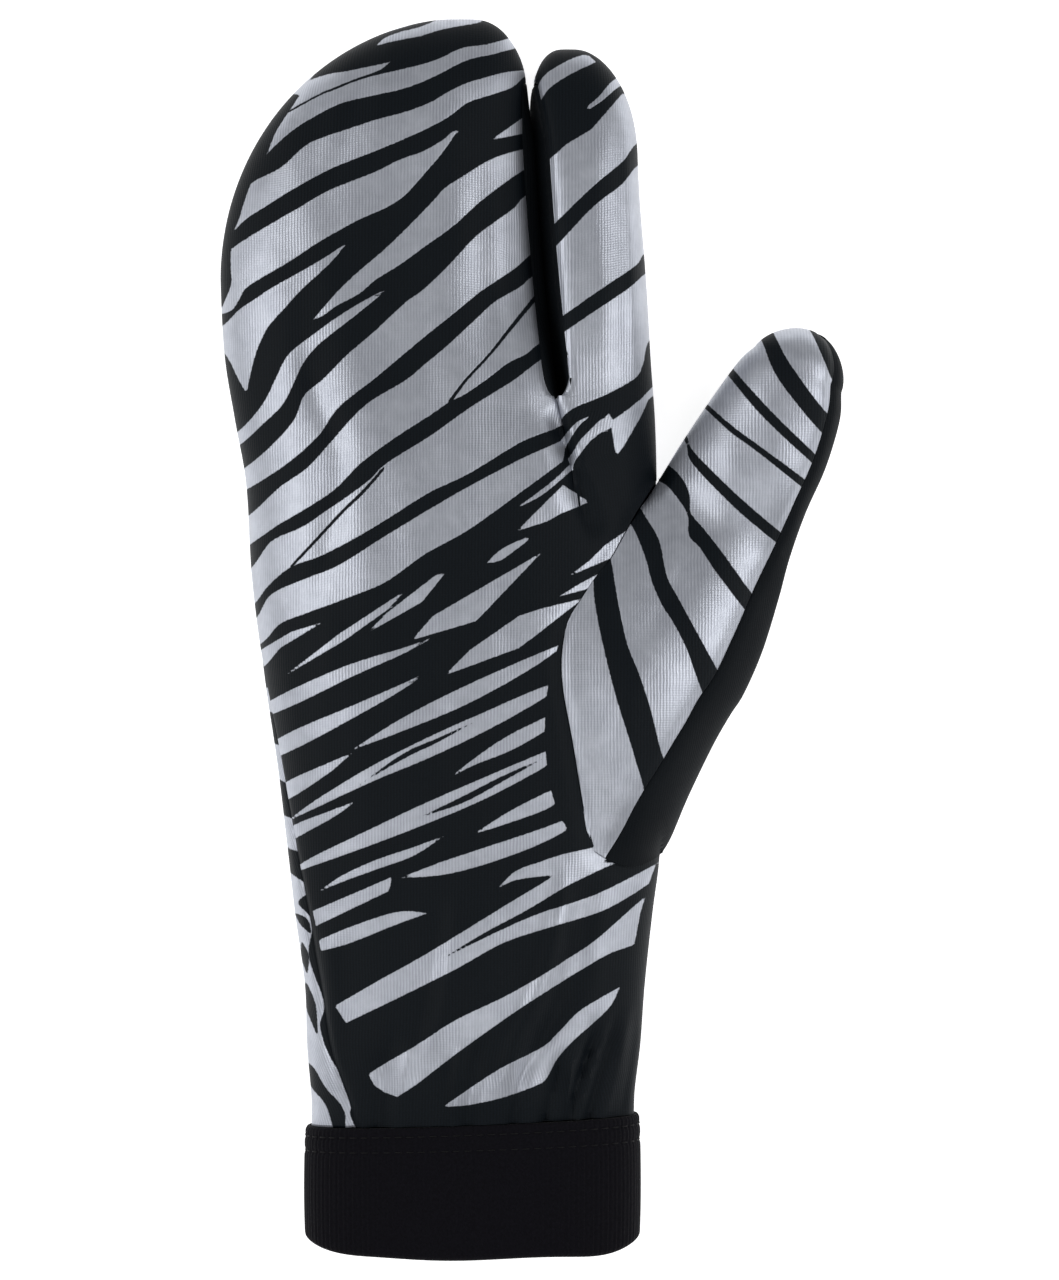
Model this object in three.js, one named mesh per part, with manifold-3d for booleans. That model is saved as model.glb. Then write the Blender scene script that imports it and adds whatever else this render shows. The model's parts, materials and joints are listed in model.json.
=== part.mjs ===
// A trigger mitten for the right hand, lying on its back with the palm up.
// Millimetres. +X points to the thumb, +Y to the fingertips and +Z up from the surface it lies on.
// Each cloth piece is a sheet of one wall thickness, cut along the seams that join it to the others.

import * as THREE from "three";
import { mergeVertices } from "three/addons/utils/BufferGeometryUtils.js";
import Module from "manifold-3d";

// Driving sizes
const WALL = 1.2; // stretch fabric
const CUFF_WALL = 2.4; // knit band, folded double
const SEAM_GAP = 0.3; // between two pieces that are sewn together
const SEAM_Z = 14; // height of the side seams over the surface
const FLATTEN = 3; // how far the back would reach below the surface if it stayed round
const SQUARE = 2.4; // exponent of the cross sections: 2 is an ellipse, more is squarer
const CENTRE_X = -0.08; // middle of the whole outline, which becomes the origin
const CENTRE_Y = 1.1;

// The outline of the hand from the cuff to the fingers, and the height of its palm side.
const HAND = [
  { y: -110, left: -49.9, right: 23.4, top: 27.5 },
  { y: -104, left: -49.9, right: 23.6, top: 28.5 },
  { y: -92, left: -50.9, right: 24.8, top: 30 },
  { y: -78, left: -51.4, right: 25.8, top: 31.5 },
  { y: -62, left: -53.6, right: 27.5, top: 33 },
  { y: -48, left: -55.2, right: 29.2, top: 34.5 },
  { y: -28, left: -57.6, right: 29.5, top: 36 },
  { y: -8, left: -60.6, right: 29.3, top: 36.5 },
  { y: 14, left: -63.4, right: 28.9, top: 36 },
  { y: 36, left: -64.8, right: 28.5, top: 35 },
  { y: 50, left: -67.3, right: 28.1, top: 33.5 },
  { y: 64, left: -69.6, right: 27.1, top: 32 },
  { y: 82, left: -70.6, right: 26, top: 30.5 },
  { y: 100, left: -70.6, right: 24.6, top: 29.5 },
  { y: 112, left: -70.6, right: 24.1, top: 29 },
  { y: 142, left: -70.6, right: 23.9, top: 28 },
];

// Where the finger compartments meet, and below the crotch the line of the fold that runs on from it.
const SLOT = [
  { y: -110, x: -8 },
  { y: -60, x: -2 },
  { y: -20, x: 5 },
  { y: 20, x: 10 },
  { y: 40, x: 8.7 },
  { y: 55.8, x: 5.4 },
  { y: 70, x: 3.6 },
  { y: 84, x: 2.2 },
  { y: 100, x: 0.9 },
  { y: 120, x: -0.3 },
  { y: 142, x: -1 },
];
const CROTCH_Y = 55.8;
const SLOT_HALF = 0.5; // half the air between the two compartments
const SLOT_ROUND = 1.6; // length over which the slot's end is rounded
const SLOT_EDGE = 8; // how close to the slot its air is made room for: more is closer
const WEB_ABOVE = 14; // the compartments begin to join this far above the crotch
const WEB_BELOW = 38; // and are one body this far below it
const WEB_SHARE = 0.72; // how much they are joined at the crotch

// Rounded finger ends: quarter ellipses round a centre, with their reach along X and Y.
const THREE_FINGER_END = {
  x: -14,
  outerY: 82,
  outerReach: 59.4,
  innerY: 125.5,
  innerReach: 15.9,
  tip: 141,
};
const INDEX_END = {
  x: 8.5,
  outerY: 110,
  outerReach: 24.6,
  innerY: 122.5,
  innerReach: 12.2,
  tip: 134.2,
};
const TIP_DOME = 34; // the height falls off to the tip over this length
const INDEX_HEIGHT = 0.93; // of the three-finger compartment's height

// How far the printed panels stop short of the slot, where the fourchette shows.
const OUTER_INSET = 1.5;
const INDEX_INSET = 2.8;
const BACK_INSET = 1.2;
const INSET_ROUND = 4;
const FOURCHETTE_TOP = 126.5;
const FOURCHETTE_TAPER = 14;
const FOURCHETTE_ROUND = 0.7; // exponent of its bulge into the slot: 1 is a sine, less is squarer

// The little-finger side seam leaves the edge and drifts onto the palm side at the wrist.
const SEAM_DRIFT = [
  { y: -110, inset: 10.2 },
  { y: -105, inset: 9 },
  { y: -91, inset: 5.4 },
  { y: -75, inset: 3.6 },
  { y: -62, inset: 3.3 },
  { y: -48, inset: 2.2 },
  { y: -30, inset: 1 },
  { y: -10, inset: 0.2 },
  { y: 0, inset: 0 },
  { y: 142, inset: 0 },
];

// Cross sections of the thumb in plan from its base to where its rounded end starts. left is the seam
// on the palm, or the thumb's inner edge where it is free, right the outer edge, split where the
// printed panel ends on the way from left to right, and underY where the lower panel meets the hand.
const THUMB_PLAN = [
  { leftX: 14.3, leftY: -47.2, rightX: 30.4, rightY: -48.6, split: 0.15, underY: -46.8 },
  { leftX: 11.6, leftY: -37, rightX: 31.6, rightY: -44.6, split: 0.464, underY: -42 },
  { leftX: 9, leftY: -22, rightX: 35.5, rightY: -35.2, split: 0.672, underY: -33 },
  { leftX: 6.7, leftY: -8, rightX: 41, rightY: -23.7, split: 0.778, underY: -23 },
  { leftX: 7.6, leftY: 2, rightX: 44.9, rightY: -16.8, split: 0.8, underY: -14 },
  { leftX: 11.5, leftY: 10, rightX: 48, rightY: -11.9, split: 0.811, underY: -4 },
  { leftX: 17.5, leftY: 18.3, rightX: 52.1, rightY: -2.5, split: 0.81, underY: 8 },
  { leftX: 23.3, leftY: 28.5, rightX: 55.7, rightY: 9.1, split: 0.836, underY: 21 },
  { leftX: 28.5, leftY: 36.6, rightX: 58.3, rightY: 18.8, split: 0.876, underY: 36 },
  { leftX: 34, leftY: 45.4, rightX: 61.8, rightY: 28.8, split: 0.896, underY: 0 },
  { leftX: 40.2, leftY: 54.6, rightX: 66.3, rightY: 39, split: 0.889, underY: 0 },
  { leftX: 46.5, leftY: 63.2, rightX: 69.4, rightY: 49.5, split: 0.875, underY: 0 },
  { leftX: 50.2, leftY: 66.6, rightX: 69.8, rightY: 56, split: 0.87, underY: 0 },
];

// The same cross sections in height: both edges, and how far the two sides swell out from them.
const THUMB_DEPTH = [
  { leftZ: 14, rightZ: 15, crown: 0, belly: 0 },
  { leftZ: 14, rightZ: 15.5, crown: 1.5, belly: 0.5 },
  { leftZ: 14, rightZ: 16.5, crown: 3.5, belly: 1.5 },
  { leftZ: 14, rightZ: 17.5, crown: 5, belly: 3 },
  { leftZ: 14, rightZ: 18, crown: 5.5, belly: 4 },
  { leftZ: 14, rightZ: 18.5, crown: 6, belly: 5 },
  { leftZ: 14, rightZ: 19, crown: 7, belly: 6 },
  { leftZ: 14, rightZ: 19.5, crown: 9, belly: 7 },
  { leftZ: 15, rightZ: 20, crown: 12, belly: 8 },
  { leftZ: 17.5, rightZ: 20.5, crown: 12.5, belly: 9.5 },
  { leftZ: 19.5, rightZ: 21, crown: 12, belly: 10 },
  { leftZ: 21, rightZ: 21.5, crown: 11.5, belly: 10 },
  { leftZ: 21.5, rightZ: 21.5, crown: 10.5, belly: 9.5 },
];
const THUMB = THUMB_PLAN.map((row, i) => ({ at: i, ...row, ...THUMB_DEPTH[i] }));
const THUMB_CROTCH_ROW = 8;
const THUMB_END_REACH = 9.2;
const THUMB_END_ROUND = 1.6; // exponent of its outline: 2 is an ellipse, less is more pointed
const THUMB_BASE_BOW = 3; // the seam's round lower end, below the first row
const THUMB_END_OPEN = 0.12; // share of the width that the last section keeps
const THUMB_ROUND = 2.1; // exponent of the cross section where the thumb is free
const THUMB_FREE_BEFORE = 1.5; // rows before its crotch from which that section takes over
const THUMB_FREE_AFTER = 1; // and rows after it until it has
const THUMB_ON_HAND = 1.5; // rows over which the base still follows the hand

// Cuff band
const CUFF = { left: -51.3, right: 24.5, top: 29, bottomY: -138.8, topY: -109.8, round: 1.4 };
const HEM_LIFT = 2.8; // the cuff's seam is this much higher on the thumb side
const HEM_FADE = 22;
const CUFF_PROUD = 1.3; // the cuff stands this far out from the hand all round
const CUFF_SWELL = 0.1; // the band bulges this much between its two edges
const CUFF_SWELL_FROM = 8; // below its sewn edge
const CUFF_SWELL_TO = 19;
const CUFF_INNER_STATION = 15; // below its sewn edge, on the inside

// Main folds and ripples of the cloth, each a straight crease in plan: depth below the surface,
// or above it where it is negative, and half its width.
const FOLDS = [
  { x0: 5.5, y0: 50, x1: 9.5, y1: 38, depth: 2.2, width: 2.6 },
  { x0: 9.5, y0: 38, x1: 14, y1: 26, depth: 1.4, width: 2.8 },
  { x0: 2, y0: 49, x1: 4, y1: 32, depth: -0.8, width: 3.5 },
  { x0: 14, y0: -88, x1: 11, y1: -110, depth: 1.2, width: 2.2 },
  { x0: 19.5, y0: -90, x1: 17.5, y1: -110, depth: 1.3, width: 2 },
  { x0: 4, y0: -94, x1: 3, y1: -110, depth: 0.7, width: 2.4 },
  { x0: -34, y0: -95, x1: -35, y1: -110, depth: 0.7, width: 2.4 },
  { x0: -19, y0: -97, x1: -19, y1: -110, depth: 0.6, width: 2.2 },
  { x0: -46, y0: -66, x1: -45, y1: -86, depth: -0.8, width: 2.5 },
  { x0: -40, y0: 60, x1: -36, y1: 8, depth: -0.7, width: 6 },
  { x0: -20, y0: 100, x1: -12, y1: 30, depth: -0.6, width: 7 },
];
const THUMB_FOLDS = [
  { x0: 30, y0: 31, x1: 33, y1: 12, depth: 1.8, width: 3 },
  { x0: 36, y0: 34, x1: 37, y1: 18, depth: -0.8, width: 3 },
  { x0: 23, y0: 12, x1: 34, y1: 2, depth: 0.9, width: 4 },
];
const BACK_SIDE = 1e-9; // turns an angle on a seam to the back of the hand
const LEAST_MITRE = 0.5; // so that a sharp corner of a seam isn't drawn back too far
const FOLD_REACH = 3; // widths past which a fold no longer counts
const KEYS_PER_MM = 1e4; // points closer than one key are the same point
const CUTTER_HEIGHT = 56; // of the body that cuts the thumb's place out of the palm
const CUTTER_RIGHT = 75;

// Mesh steps
const BODY_ROWS = [
  -109.8, -105, -99, -92, -82, -71, -60, -49, -38, -26, -14, -2, 10, 21, 31, 40, 47, 52.5, 55.8,
];
const FREE_ROWS = [55.8, 56.1, 56.8, 58, 60, 64, 70, 78, 87, 96, 105, 113, 119.5, 124.5, 128];
const END_STEPS = 4; // rows in a finger's rounded end
const OUTER_COLUMNS = 11;
const INDEX_COLUMNS = 7;
const FOURCHETTE_COLUMNS = 4;
const THUMB_STEP = 0.75;
const THUMB_END_STEPS = 5;
const THUMB_FRONT_COLUMNS = 8;
const THUMB_SIDE_COLUMNS = 3;
const THUMB_UNDER_COLUMNS = 7;
const CUFF_COLUMNS = 48;
const CUFF_FOLD_STEPS = 4;

const MATERIALS = {
  printed: { color: 0xb2b4bc, roughness: 0.45, metalness: 0.3 },
  black: { color: 0x16191c, roughness: 0.85, metalness: 0 },
  cuff: { color: 0x100f12, roughness: 0.95, metalness: 0 },
};

const { clamp, lerp, smoothstep } = THREE.MathUtils;
const wasm = await Module();
wasm.setup();

// Smooth value of one column of a table between its rows.
function tableValue(table, key, column, at) {
  const last = table.length - 1;
  const n = clamp(table.findIndex((row) => row[key] > at) - 1, 0, last - 1);
  const start = at >= table[last][key] ? last - 1 : n;
  const rows = [start - 1, start, start + 1, start + 2].map((i) => table[clamp(i, 0, last)]);
  const [before, from, to, after] = rows;
  const span = to[key] - from[key];
  const slopeAt = (a, b) => (b[key] === a[key] ? 0 : (b[column] - a[column]) / (b[key] - a[key]));
  const t = clamp((at - from[key]) / span, 0, 1);
  const slopeFrom = slopeAt(before, to) * span;
  const slopeTo = slopeAt(from, after) * span;
  const rise = to[column] - from[column];
  const bend = (1 - t) * (slopeFrom - rise) - t * (slopeTo - rise);
  return from[column] + t * rise + t * (1 - t) * bend;
}

const handValue = (column, y) => tableValue(HAND, "y", column, y);
const slotX = (y) => tableValue(SLOT, "y", "x", y);

// Height of a rounded shape over its width, from 1 in the middle to 0 at its edge.
function dome(u, exponent = SQUARE) {
  return Math.max(0, 1 - Math.abs(u) ** exponent) ** (1 / exponent);
}

function signedPower(value, exponent) {
  return Math.sign(value) * Math.abs(value) ** exponent;
}

// Rise of the cloth over the smooth form at a place in plan, from a table of folds.
function foldRise(folds, x, y) {
  let rise = 0;
  for (const fold of folds) {
    const dx = fold.x1 - fold.x0;
    const dy = fold.y1 - fold.y0;
    const along = clamp(((x - fold.x0) * dx + (y - fold.y0) * dy) / (dx * dx + dy * dy), 0, 1);
    const away = Math.hypot(x - fold.x0 - along * dx, y - fold.y0 - along * dy) / fold.width;
    if (away < FOLD_REACH) rise -= fold.depth * Math.exp(-away * away);
  }
  return rise;
}

// Left and right edge of one finger compartment, which below the crotch is its share of the hand.
function lobeEdges(side, y) {
  const end = side === "outer" ? THREE_FINGER_END : INDEX_END;
  const slot = slotX(y) - end.x;
  const outer = dome(Math.max(0, y - end.outerY) / end.outerReach, 2);
  const inner = dome(Math.max(0, y - end.innerY) / end.innerReach, 2);
  if (side === "outer") {
    const left = handValue("left", Math.min(y, end.outerY)) - end.x;
    return [end.x + left * outer, end.x + slot * inner];
  }
  const right = handValue("right", y) - end.x;
  return [end.x + slot * inner, end.x + right * outer];
}

// How far a point of a compartment gives way to the air in the slot.
function slotShift(side, y, across) {
  const air = SLOT_HALF * Math.sqrt(clamp((y - CROTCH_Y) / SLOT_ROUND, 0, 1));
  return side === "outer" ? -air * across ** SLOT_EDGE : air * (1 - across) ** SLOT_EDGE;
}

// How much of its height a compartment has left near its tip.
function tipShare(side, y) {
  const tip = side === "outer" ? THREE_FINGER_END.tip : INDEX_END.tip;
  return dome(Math.max(0, y - tip + TIP_DOME) / TIP_DOME);
}

// How far the two compartments are joined into one body: 0 apart, 1 one body.
function webbing(y) {
  const above = smoothstep(y, CROTCH_Y, CROTCH_Y + WEB_ABOVE);
  const below = 1 - smoothstep(y, CROTCH_Y - WEB_BELOW, CROTCH_Y);
  return y > CROTCH_Y ? WEB_SHARE * (1 - above) : WEB_SHARE + (1 - WEB_SHARE) * below;
}

// Share of the full height that the whole hand has at a place in plan.
function bodyShare(x, y) {
  const left = handValue("left", y);
  const right = handValue("right", y);
  return dome((2 * x - left - right) / (right - left));
}

function palmRise(side, y) {
  const apart = smoothstep(y, CROTCH_Y, CROTCH_Y + WEB_ABOVE);
  const height = side === "outer" ? 1 : lerp(1, INDEX_HEIGHT, apart);
  return (handValue("top", y) - SEAM_Z) * height;
}

// The lowest rows follow the cuff's seam, which climbs towards the thumb.
function hemLift(x, y, base) {
  const across = clamp((x - CUFF.left) / (CUFF.right - CUFF.left), 0, 1);
  return HEM_LIFT * across * (1 - smoothstep(Math.abs(y - base), 0, HEM_FADE));
}

// A point of the hand's outer surface. angle is 0 at the right edge of the compartment, a quarter
// turn on its palm side and a half turn at its left edge.
function handPoint(side, y, angle) {
  const [left, right] = lobeEdges(side, y);
  const across = (1 + signedPower(Math.cos(angle), 2 / SQUARE)) / 2;
  const x = lerp(left, right, across) + slotShift(side, y, across);
  const own = Math.abs(Math.sin(angle)) ** (2 / SQUARE);
  const share = lerp(own, bodyShare(x, y), webbing(y)) * tipShare(side, y);
  const raise = CUFF_PROUD * (1 - smoothstep(y, CUFF.topY, CUFF.topY + HEM_FADE / 2));
  const lifted = y + hemLift(x, y, CUFF.topY);
  if (Math.sin(angle) >= 0) {
    const z = SEAM_Z + share * (palmRise(side, y) + foldRise(FOLDS, x, y));
    return new THREE.Vector3(x, lifted, z);
  }
  return new THREE.Vector3(x, lifted, Math.max(raise, SEAM_Z - share * (SEAM_Z + FLATTEN)));
}

// Height of the palm side at a place in plan on the index finger's side.
function palmHeight(x, y) {
  const [left, right] = lobeEdges("index", y);
  const u = clamp((2 * x - left - right) / (right - left), -1, 1);
  const share = lerp(dome(u), bodyShare(x, y), webbing(y));
  return SEAM_Z + share * (palmRise("index", y) + foldRise(FOLDS, x, y));
}

// The angle at which a seam runs that lies inset from the edge of its compartment.
function seamAngle(side, y, inset) {
  const [left, right] = lobeEdges(side, y);
  const half = (right - left) / 2;
  return Math.acos(clamp((half - inset) / half, 0, 1) ** (SQUARE / 2));
}

function slotInset(side, y, below) {
  const onPalm = side === "outer" ? OUTER_INSET : INDEX_INSET;
  const full = below ? BACK_INSET : onPalm;
  const start = Math.sqrt(clamp((y - CROTCH_Y) / INSET_ROUND, 0, 1));
  const end = Math.sqrt(clamp((FOURCHETTE_TOP - y) / FOURCHETTE_TAPER, 0, 1));
  return full * start * end;
}

const slotAngle = (side, y, below = false) => seamAngle(side, y, slotInset(side, y, below));
const driftAngle = (y) => Math.PI - seamAngle("outer", y, tableValue(SEAM_DRIFT, "y", "inset", y));

function rowsToTip(side) {
  const tip = side === "outer" ? THREE_FINGER_END.tip : INDEX_END.tip;
  const start = side === "outer" ? FREE_ROWS.at(-1) : FREE_ROWS.at(-2);
  const rows = FREE_ROWS.filter((y) => y <= start);
  for (let i = 1; i <= END_STEPS; i++) {
    rows.push(start + (tip - start) * Math.sin((i / END_STEPS) * (Math.PI / 2)));
  }
  return rows;
}

// A grid of points, and the quads between them. Rows run towards the fingertips and columns
// clockwise seen from the cuff, so that every face points out.
function gridPatch(rows, columns, pointAt) {
  const points = [];
  const quads = [];
  rows.forEach((row, i) => {
    for (let j = 0; j <= columns; j++) points.push(pointAt(row, j / columns));
    if (i === 0) return;
    for (let j = 0; j < columns; j++) {
      const a = (i - 1) * (columns + 1) + j;
      quads.push([a, a + 1, a + columns + 2, a + columns + 1]);
    }
  });
  return { points, quads };
}

// One patch of several grids, with the points that they share joined.
function joinPatches(...patches) {
  const points = [];
  const index = new Map();
  const quads = [];
  for (const patch of patches) {
    const place = patch.points.map((point) => {
      const key = keyOf(point);
      if (!index.has(key)) {
        index.set(key, points.length);
        points.push(point);
      }
      return index.get(key);
    });
    for (const quad of patch.quads) quads.push(quad.map((corner) => place[corner]));
  }
  return { points, quads };
}

function keyOf(point) {
  return point.toArray().map((v) => Math.round(v * KEYS_PER_MM)).join(" ");
}

function trianglesOf(quads) {
  const triangles = quads.flatMap(([a, b, c, d]) => [[a, b, c], [a, c, d]]);
  return triangles.filter(([a, b, c]) => a !== b && b !== c && a !== c);
}

// Direction out of the cloth at each point of a patch, by the point's place.
function normalsOf(patch) {
  const sums = new Map(patch.points.map((point) => [keyOf(point), new THREE.Vector3()]));
  for (const corners of trianglesOf(patch.quads)) {
    const [a, b, c] = corners.map((corner) => patch.points[corner]);
    const normal = b.clone().sub(a).cross(c.clone().sub(a));
    for (const corner of [a, b, c]) sums.get(keyOf(corner)).add(normal);
  }
  for (const sum of sums.values()) sum.normalize();
  return sums;
}

// The open edges of a patch, each with the direction into the patch at right angles to it.
function openEdges(patch, triangles) {
  const edges = new Map();
  for (const corners of triangles) {
    const [p, q, r] = corners.map((corner) => patch.points[corner]);
    const normal = q.clone().sub(p).cross(r.clone().sub(p));
    corners.forEach((a, i) => {
      const b = corners[(i + 1) % corners.length];
      const along = patch.points[b].clone().sub(patch.points[a]);
      if (edges.has(b + " " + a)) edges.delete(b + " " + a);
      else edges.set(a + " " + b, { a, b, inward: normal.clone().cross(along).normalize() });
    });
  }
  return [...edges.values()];
}

// A closed sheet of the given wall inside a patch, drawn back by half a gap along its edges.
function thicken(patch, normals, wall) {
  const triangles = trianglesOf(patch.quads);
  const edges = openEdges(patch, triangles);
  const count = patch.points.length;
  const inwards = patch.points.map(() => []);
  for (const { a, b, inward } of edges) {
    inwards[a].push(inward);
    inwards[b].push(inward);
  }
  const outer = patch.points.map((point, i) => {
    if (!inwards[i].length) return point.clone();
    const pull = new THREE.Vector3();
    for (const inward of inwards[i]) pull.add(inward);
    pull.normalize();
    const mitre = Math.max(pull.dot(inwards[i][0]), LEAST_MITRE);
    return point.clone().addScaledVector(pull, SEAM_GAP / 2 / mitre);
  });
  const inner = outer.map((point, i) =>
    point.clone().addScaledVector(normals.get(keyOf(patch.points[i])), -wall),
  );
  const faces = triangles.flatMap(([a, b, c]) => [a, b, c, a + count, c + count, b + count]);
  for (const { a, b } of edges) faces.push(b, a, a + count, b, a + count, b + count);
  return geometryOf([...outer, ...inner], faces);
}

function geometryOf(points, faces) {
  const geometry = new THREE.BufferGeometry().setFromPoints(points);
  geometry.setIndex(faces);
  return geometry;
}

function solidOf(geometry) {
  const bare = geometry.clone();
  bare.deleteAttribute("normal");
  bare.deleteAttribute("uv");
  const merged = mergeVertices(bare);
  return new wasm.Manifold(
    new wasm.Mesh({
      numProp: 3,
      vertProperties: merged.attributes.position.array,
      triVerts: new Uint32Array(merged.index.array),
    }),
  );
}

function geometryOfSolid(solid) {
  const mesh = solid.getMesh();
  const geometry = new THREE.BufferGeometry();
  geometry.setAttribute("position", new THREE.BufferAttribute(mesh.vertProperties, 3));
  geometry.setIndex(new THREE.BufferAttribute(mesh.triVerts, 1));
  return geometry;
}

// The hand's panels as patches of its outer surface
function palmPatch() {
  const outer = (y, t) => handPoint("outer", y, lerp(driftAngle(y), slotAngle("outer", y), t));
  const index = (y, t) => handPoint("index", y, lerp(Math.PI - slotAngle("index", y), 0, t));
  return joinPatches(
    gridPatch(BODY_ROWS, OUTER_COLUMNS, outer),
    gridPatch(rowsToTip("outer"), OUTER_COLUMNS, outer),
    gridPatch(BODY_ROWS, INDEX_COLUMNS, index),
    gridPatch(rowsToTip("index"), INDEX_COLUMNS, index),
  );
}

function backPatch() {
  const turn = 2 * Math.PI;
  const outer = (y, t) =>
    handPoint("outer", y, lerp(-slotAngle("outer", y, true) - BACK_SIDE, driftAngle(y) - turn, t));
  const index = (y, t) =>
    handPoint("index", y, lerp(-BACK_SIDE, slotAngle("index", y, true) - Math.PI + BACK_SIDE, t));
  return joinPatches(
    gridPatch(BODY_ROWS, OUTER_COLUMNS, outer),
    gridPatch(rowsToTip("outer"), OUTER_COLUMNS, outer),
    gridPatch(BODY_ROWS, INDEX_COLUMNS, index),
    gridPatch(rowsToTip("index"), INDEX_COLUMNS, index),
  );
}

// The strip between the printed panels along the slot: down one compartment and up the other.
function fourchettePatch() {
  const rows = FREE_ROWS.filter((y) => y < FOURCHETTE_TOP);
  const strip = (side, t, y) => {
    const angle = slotAngle(side, y);
    const upper = handPoint(side, y, side === "outer" ? angle : Math.PI - angle);
    const below = slotAngle(side, y, true) + BACK_SIDE;
    const lower = handPoint(side, y, side === "outer" ? -below : below - Math.PI);
    const place = side === "outer" ? 1 : 0;
    const edge = lobeEdges(side, y)[place] + slotShift(side, y, place);
    const point = upper.clone().lerp(lower, t);
    point.x += (edge - (upper.x + lower.x) / 2) * Math.sin(Math.PI * t) ** FOURCHETTE_ROUND;
    return point;
  };
  return joinPatches(
    gridPatch(rows, FOURCHETTE_COLUMNS, (y, t) => strip("outer", t, y)),
    gridPatch(rows, FOURCHETTE_COLUMNS, (y, t) => strip("index", 1 - t, y)),
  );
}

// One section of the thumb, between rows of its table or in its rounded end.
function thumbSection(at) {
  const last = THUMB.length - 1;
  const section = {};
  for (const column of Object.keys(THUMB[0])) {
    section[column] = tableValue(THUMB, "at", column, Math.min(at, last));
  }
  const freeFrom = THUMB_CROTCH_ROW - THUMB_FREE_BEFORE;
  section.free = smoothstep(at, freeFrom, THUMB_CROTCH_ROW + THUMB_FREE_AFTER);
  section.attached = at < THUMB_CROTCH_ROW;
  section.onHand = 1 - smoothstep(at, 0, THUMB_ON_HAND);
  const left = new THREE.Vector2(section.leftX, section.leftY);
  const right = new THREE.Vector2(section.rightX, section.rightY);
  section.shrink = 1;
  if (at > last) {
    const turn = (at - last) * (Math.PI / 2);
    const middle = left.clone().lerp(right, 0.5);
    const half = right.clone().sub(middle);
    const ahead = new THREE.Vector2(-half.y, half.x).normalize();
    middle.addScaledVector(ahead, THUMB_END_REACH * Math.sin(turn));
    const width = lerp(THUMB_END_OPEN, 1, dome(Math.sin(turn), THUMB_END_ROUND));
    left.copy(middle).addScaledVector(half, -width);
    right.copy(middle).addScaledVector(half, width);
    section.shrink = Math.cos(turn);
  }
  section.left = left;
  section.right = right;
  return section;
}

// Place of the upper side in plan: a row's line, bowed where the seam is round at the base.
function thumbPlan(section, s) {
  const plan = section.left.clone().lerp(section.right, s);
  plan.y -= THUMB_BASE_BOW * section.onHand * Math.sin(Math.PI * s);
  return plan;
}

// Height of the thumb's upper side a share s of the way from its left edge to its right one.
function thumbTop(section, s) {
  const plan = thumbPlan(section, s);
  const seamZ = palmHeight(section.left.x, section.left.y);
  const crown = section.crown * section.shrink;
  const onPalm = section.rightZ + (seamZ - section.rightZ) * dome(s) + crown * Math.sin(Math.PI * s);
  const apart = lerp(section.leftZ, section.rightZ, s) + crown * dome(2 * s - 1, THUMB_ROUND);
  const fold = foldRise(THUMB_FOLDS, plan.x, plan.y) * dome(2 * s - 1) * section.shrink;
  const own = lerp(onPalm, apart, section.free) + fold;
  const z = lerp(own, palmHeight(plan.x, plan.y), section.onHand);
  return new THREE.Vector3(plan.x, plan.y, z);
}

// The thumb's underside a share s of the way from its outer edge to the hand or its inner edge.
function thumbUnder(section, s) {
  const hand = new THREE.Vector2(handValue("right", section.underY) + SEAM_GAP, section.underY);
  const inner = section.attached ? hand : section.left;
  const plan = section.right.clone().lerp(inner, s);
  const top = thumbTop(section, 1).z;
  const innerZ = section.attached ? SEAM_Z + 2 * SEAM_GAP : thumbTop(section, 0).z;
  const swell = section.belly * section.shrink * dome(2 * s - 1, THUMB_ROUND);
  const z = lerp(top, innerZ, s) - swell;
  return new THREE.Vector3(plan.x, plan.y, z);
}

function thumbRows() {
  const last = THUMB.length - 1;
  const rows = [];
  for (let at = 0; at < last - THUMB_STEP / 2; at += THUMB_STEP) rows.push(at);
  for (let i = 0; i <= THUMB_END_STEPS; i++) rows.push(last + i / THUMB_END_STEPS);
  return rows.map(thumbSection);
}

const roundShare = (t) => (1 - Math.cos(Math.PI * t)) / 2;
const roundShareBack = (s) => Math.acos(1 - 2 * s) / Math.PI;

function thumbFrontPatch(rows) {
  return gridPatch(rows, THUMB_FRONT_COLUMNS, (section, t) =>
    thumbTop(section, roundShare(t * roundShareBack(section.split))),
  );
}

function thumbBackPatch(rows) {
  const side = (section, t) =>
    thumbTop(section, roundShare(lerp(roundShareBack(section.split), 1, t)));
  const under = (section, t) => thumbUnder(section, roundShare(t));
  return joinPatches(
    gridPatch(rows, THUMB_SIDE_COLUMNS, side),
    gridPatch(rows, THUMB_UNDER_COLUMNS, under),
  );
}

// Everything over the thumb's seam, to cut its place out of the palm.
function thumbHole() {
  const outline = [];
  const rows = thumbRows().filter((section) => section.attached);
  for (const section of rows.toReversed()) outline.push(section.left);
  for (let i = 1; i <= THUMB_FRONT_COLUMNS; i++) {
    outline.push(thumbPlan(rows[0], roundShare(i / THUMB_FRONT_COLUMNS)));
  }
  const crotch = new THREE.Vector2(THUMB[THUMB_CROTCH_ROW].leftX, THUMB[THUMB_CROTCH_ROW].leftY);
  const shape = new THREE.Shape([
    crotch,
    ...outline,
    new THREE.Vector2(CUTTER_RIGHT, outline.at(-1).y),
    new THREE.Vector2(CUTTER_RIGHT, crotch.y),
  ]);
  const cutter = new THREE.ExtrudeGeometry(shape, { depth: CUTTER_HEIGHT, bevelEnabled: false });
  return solidOf(cutter);
}

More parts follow.
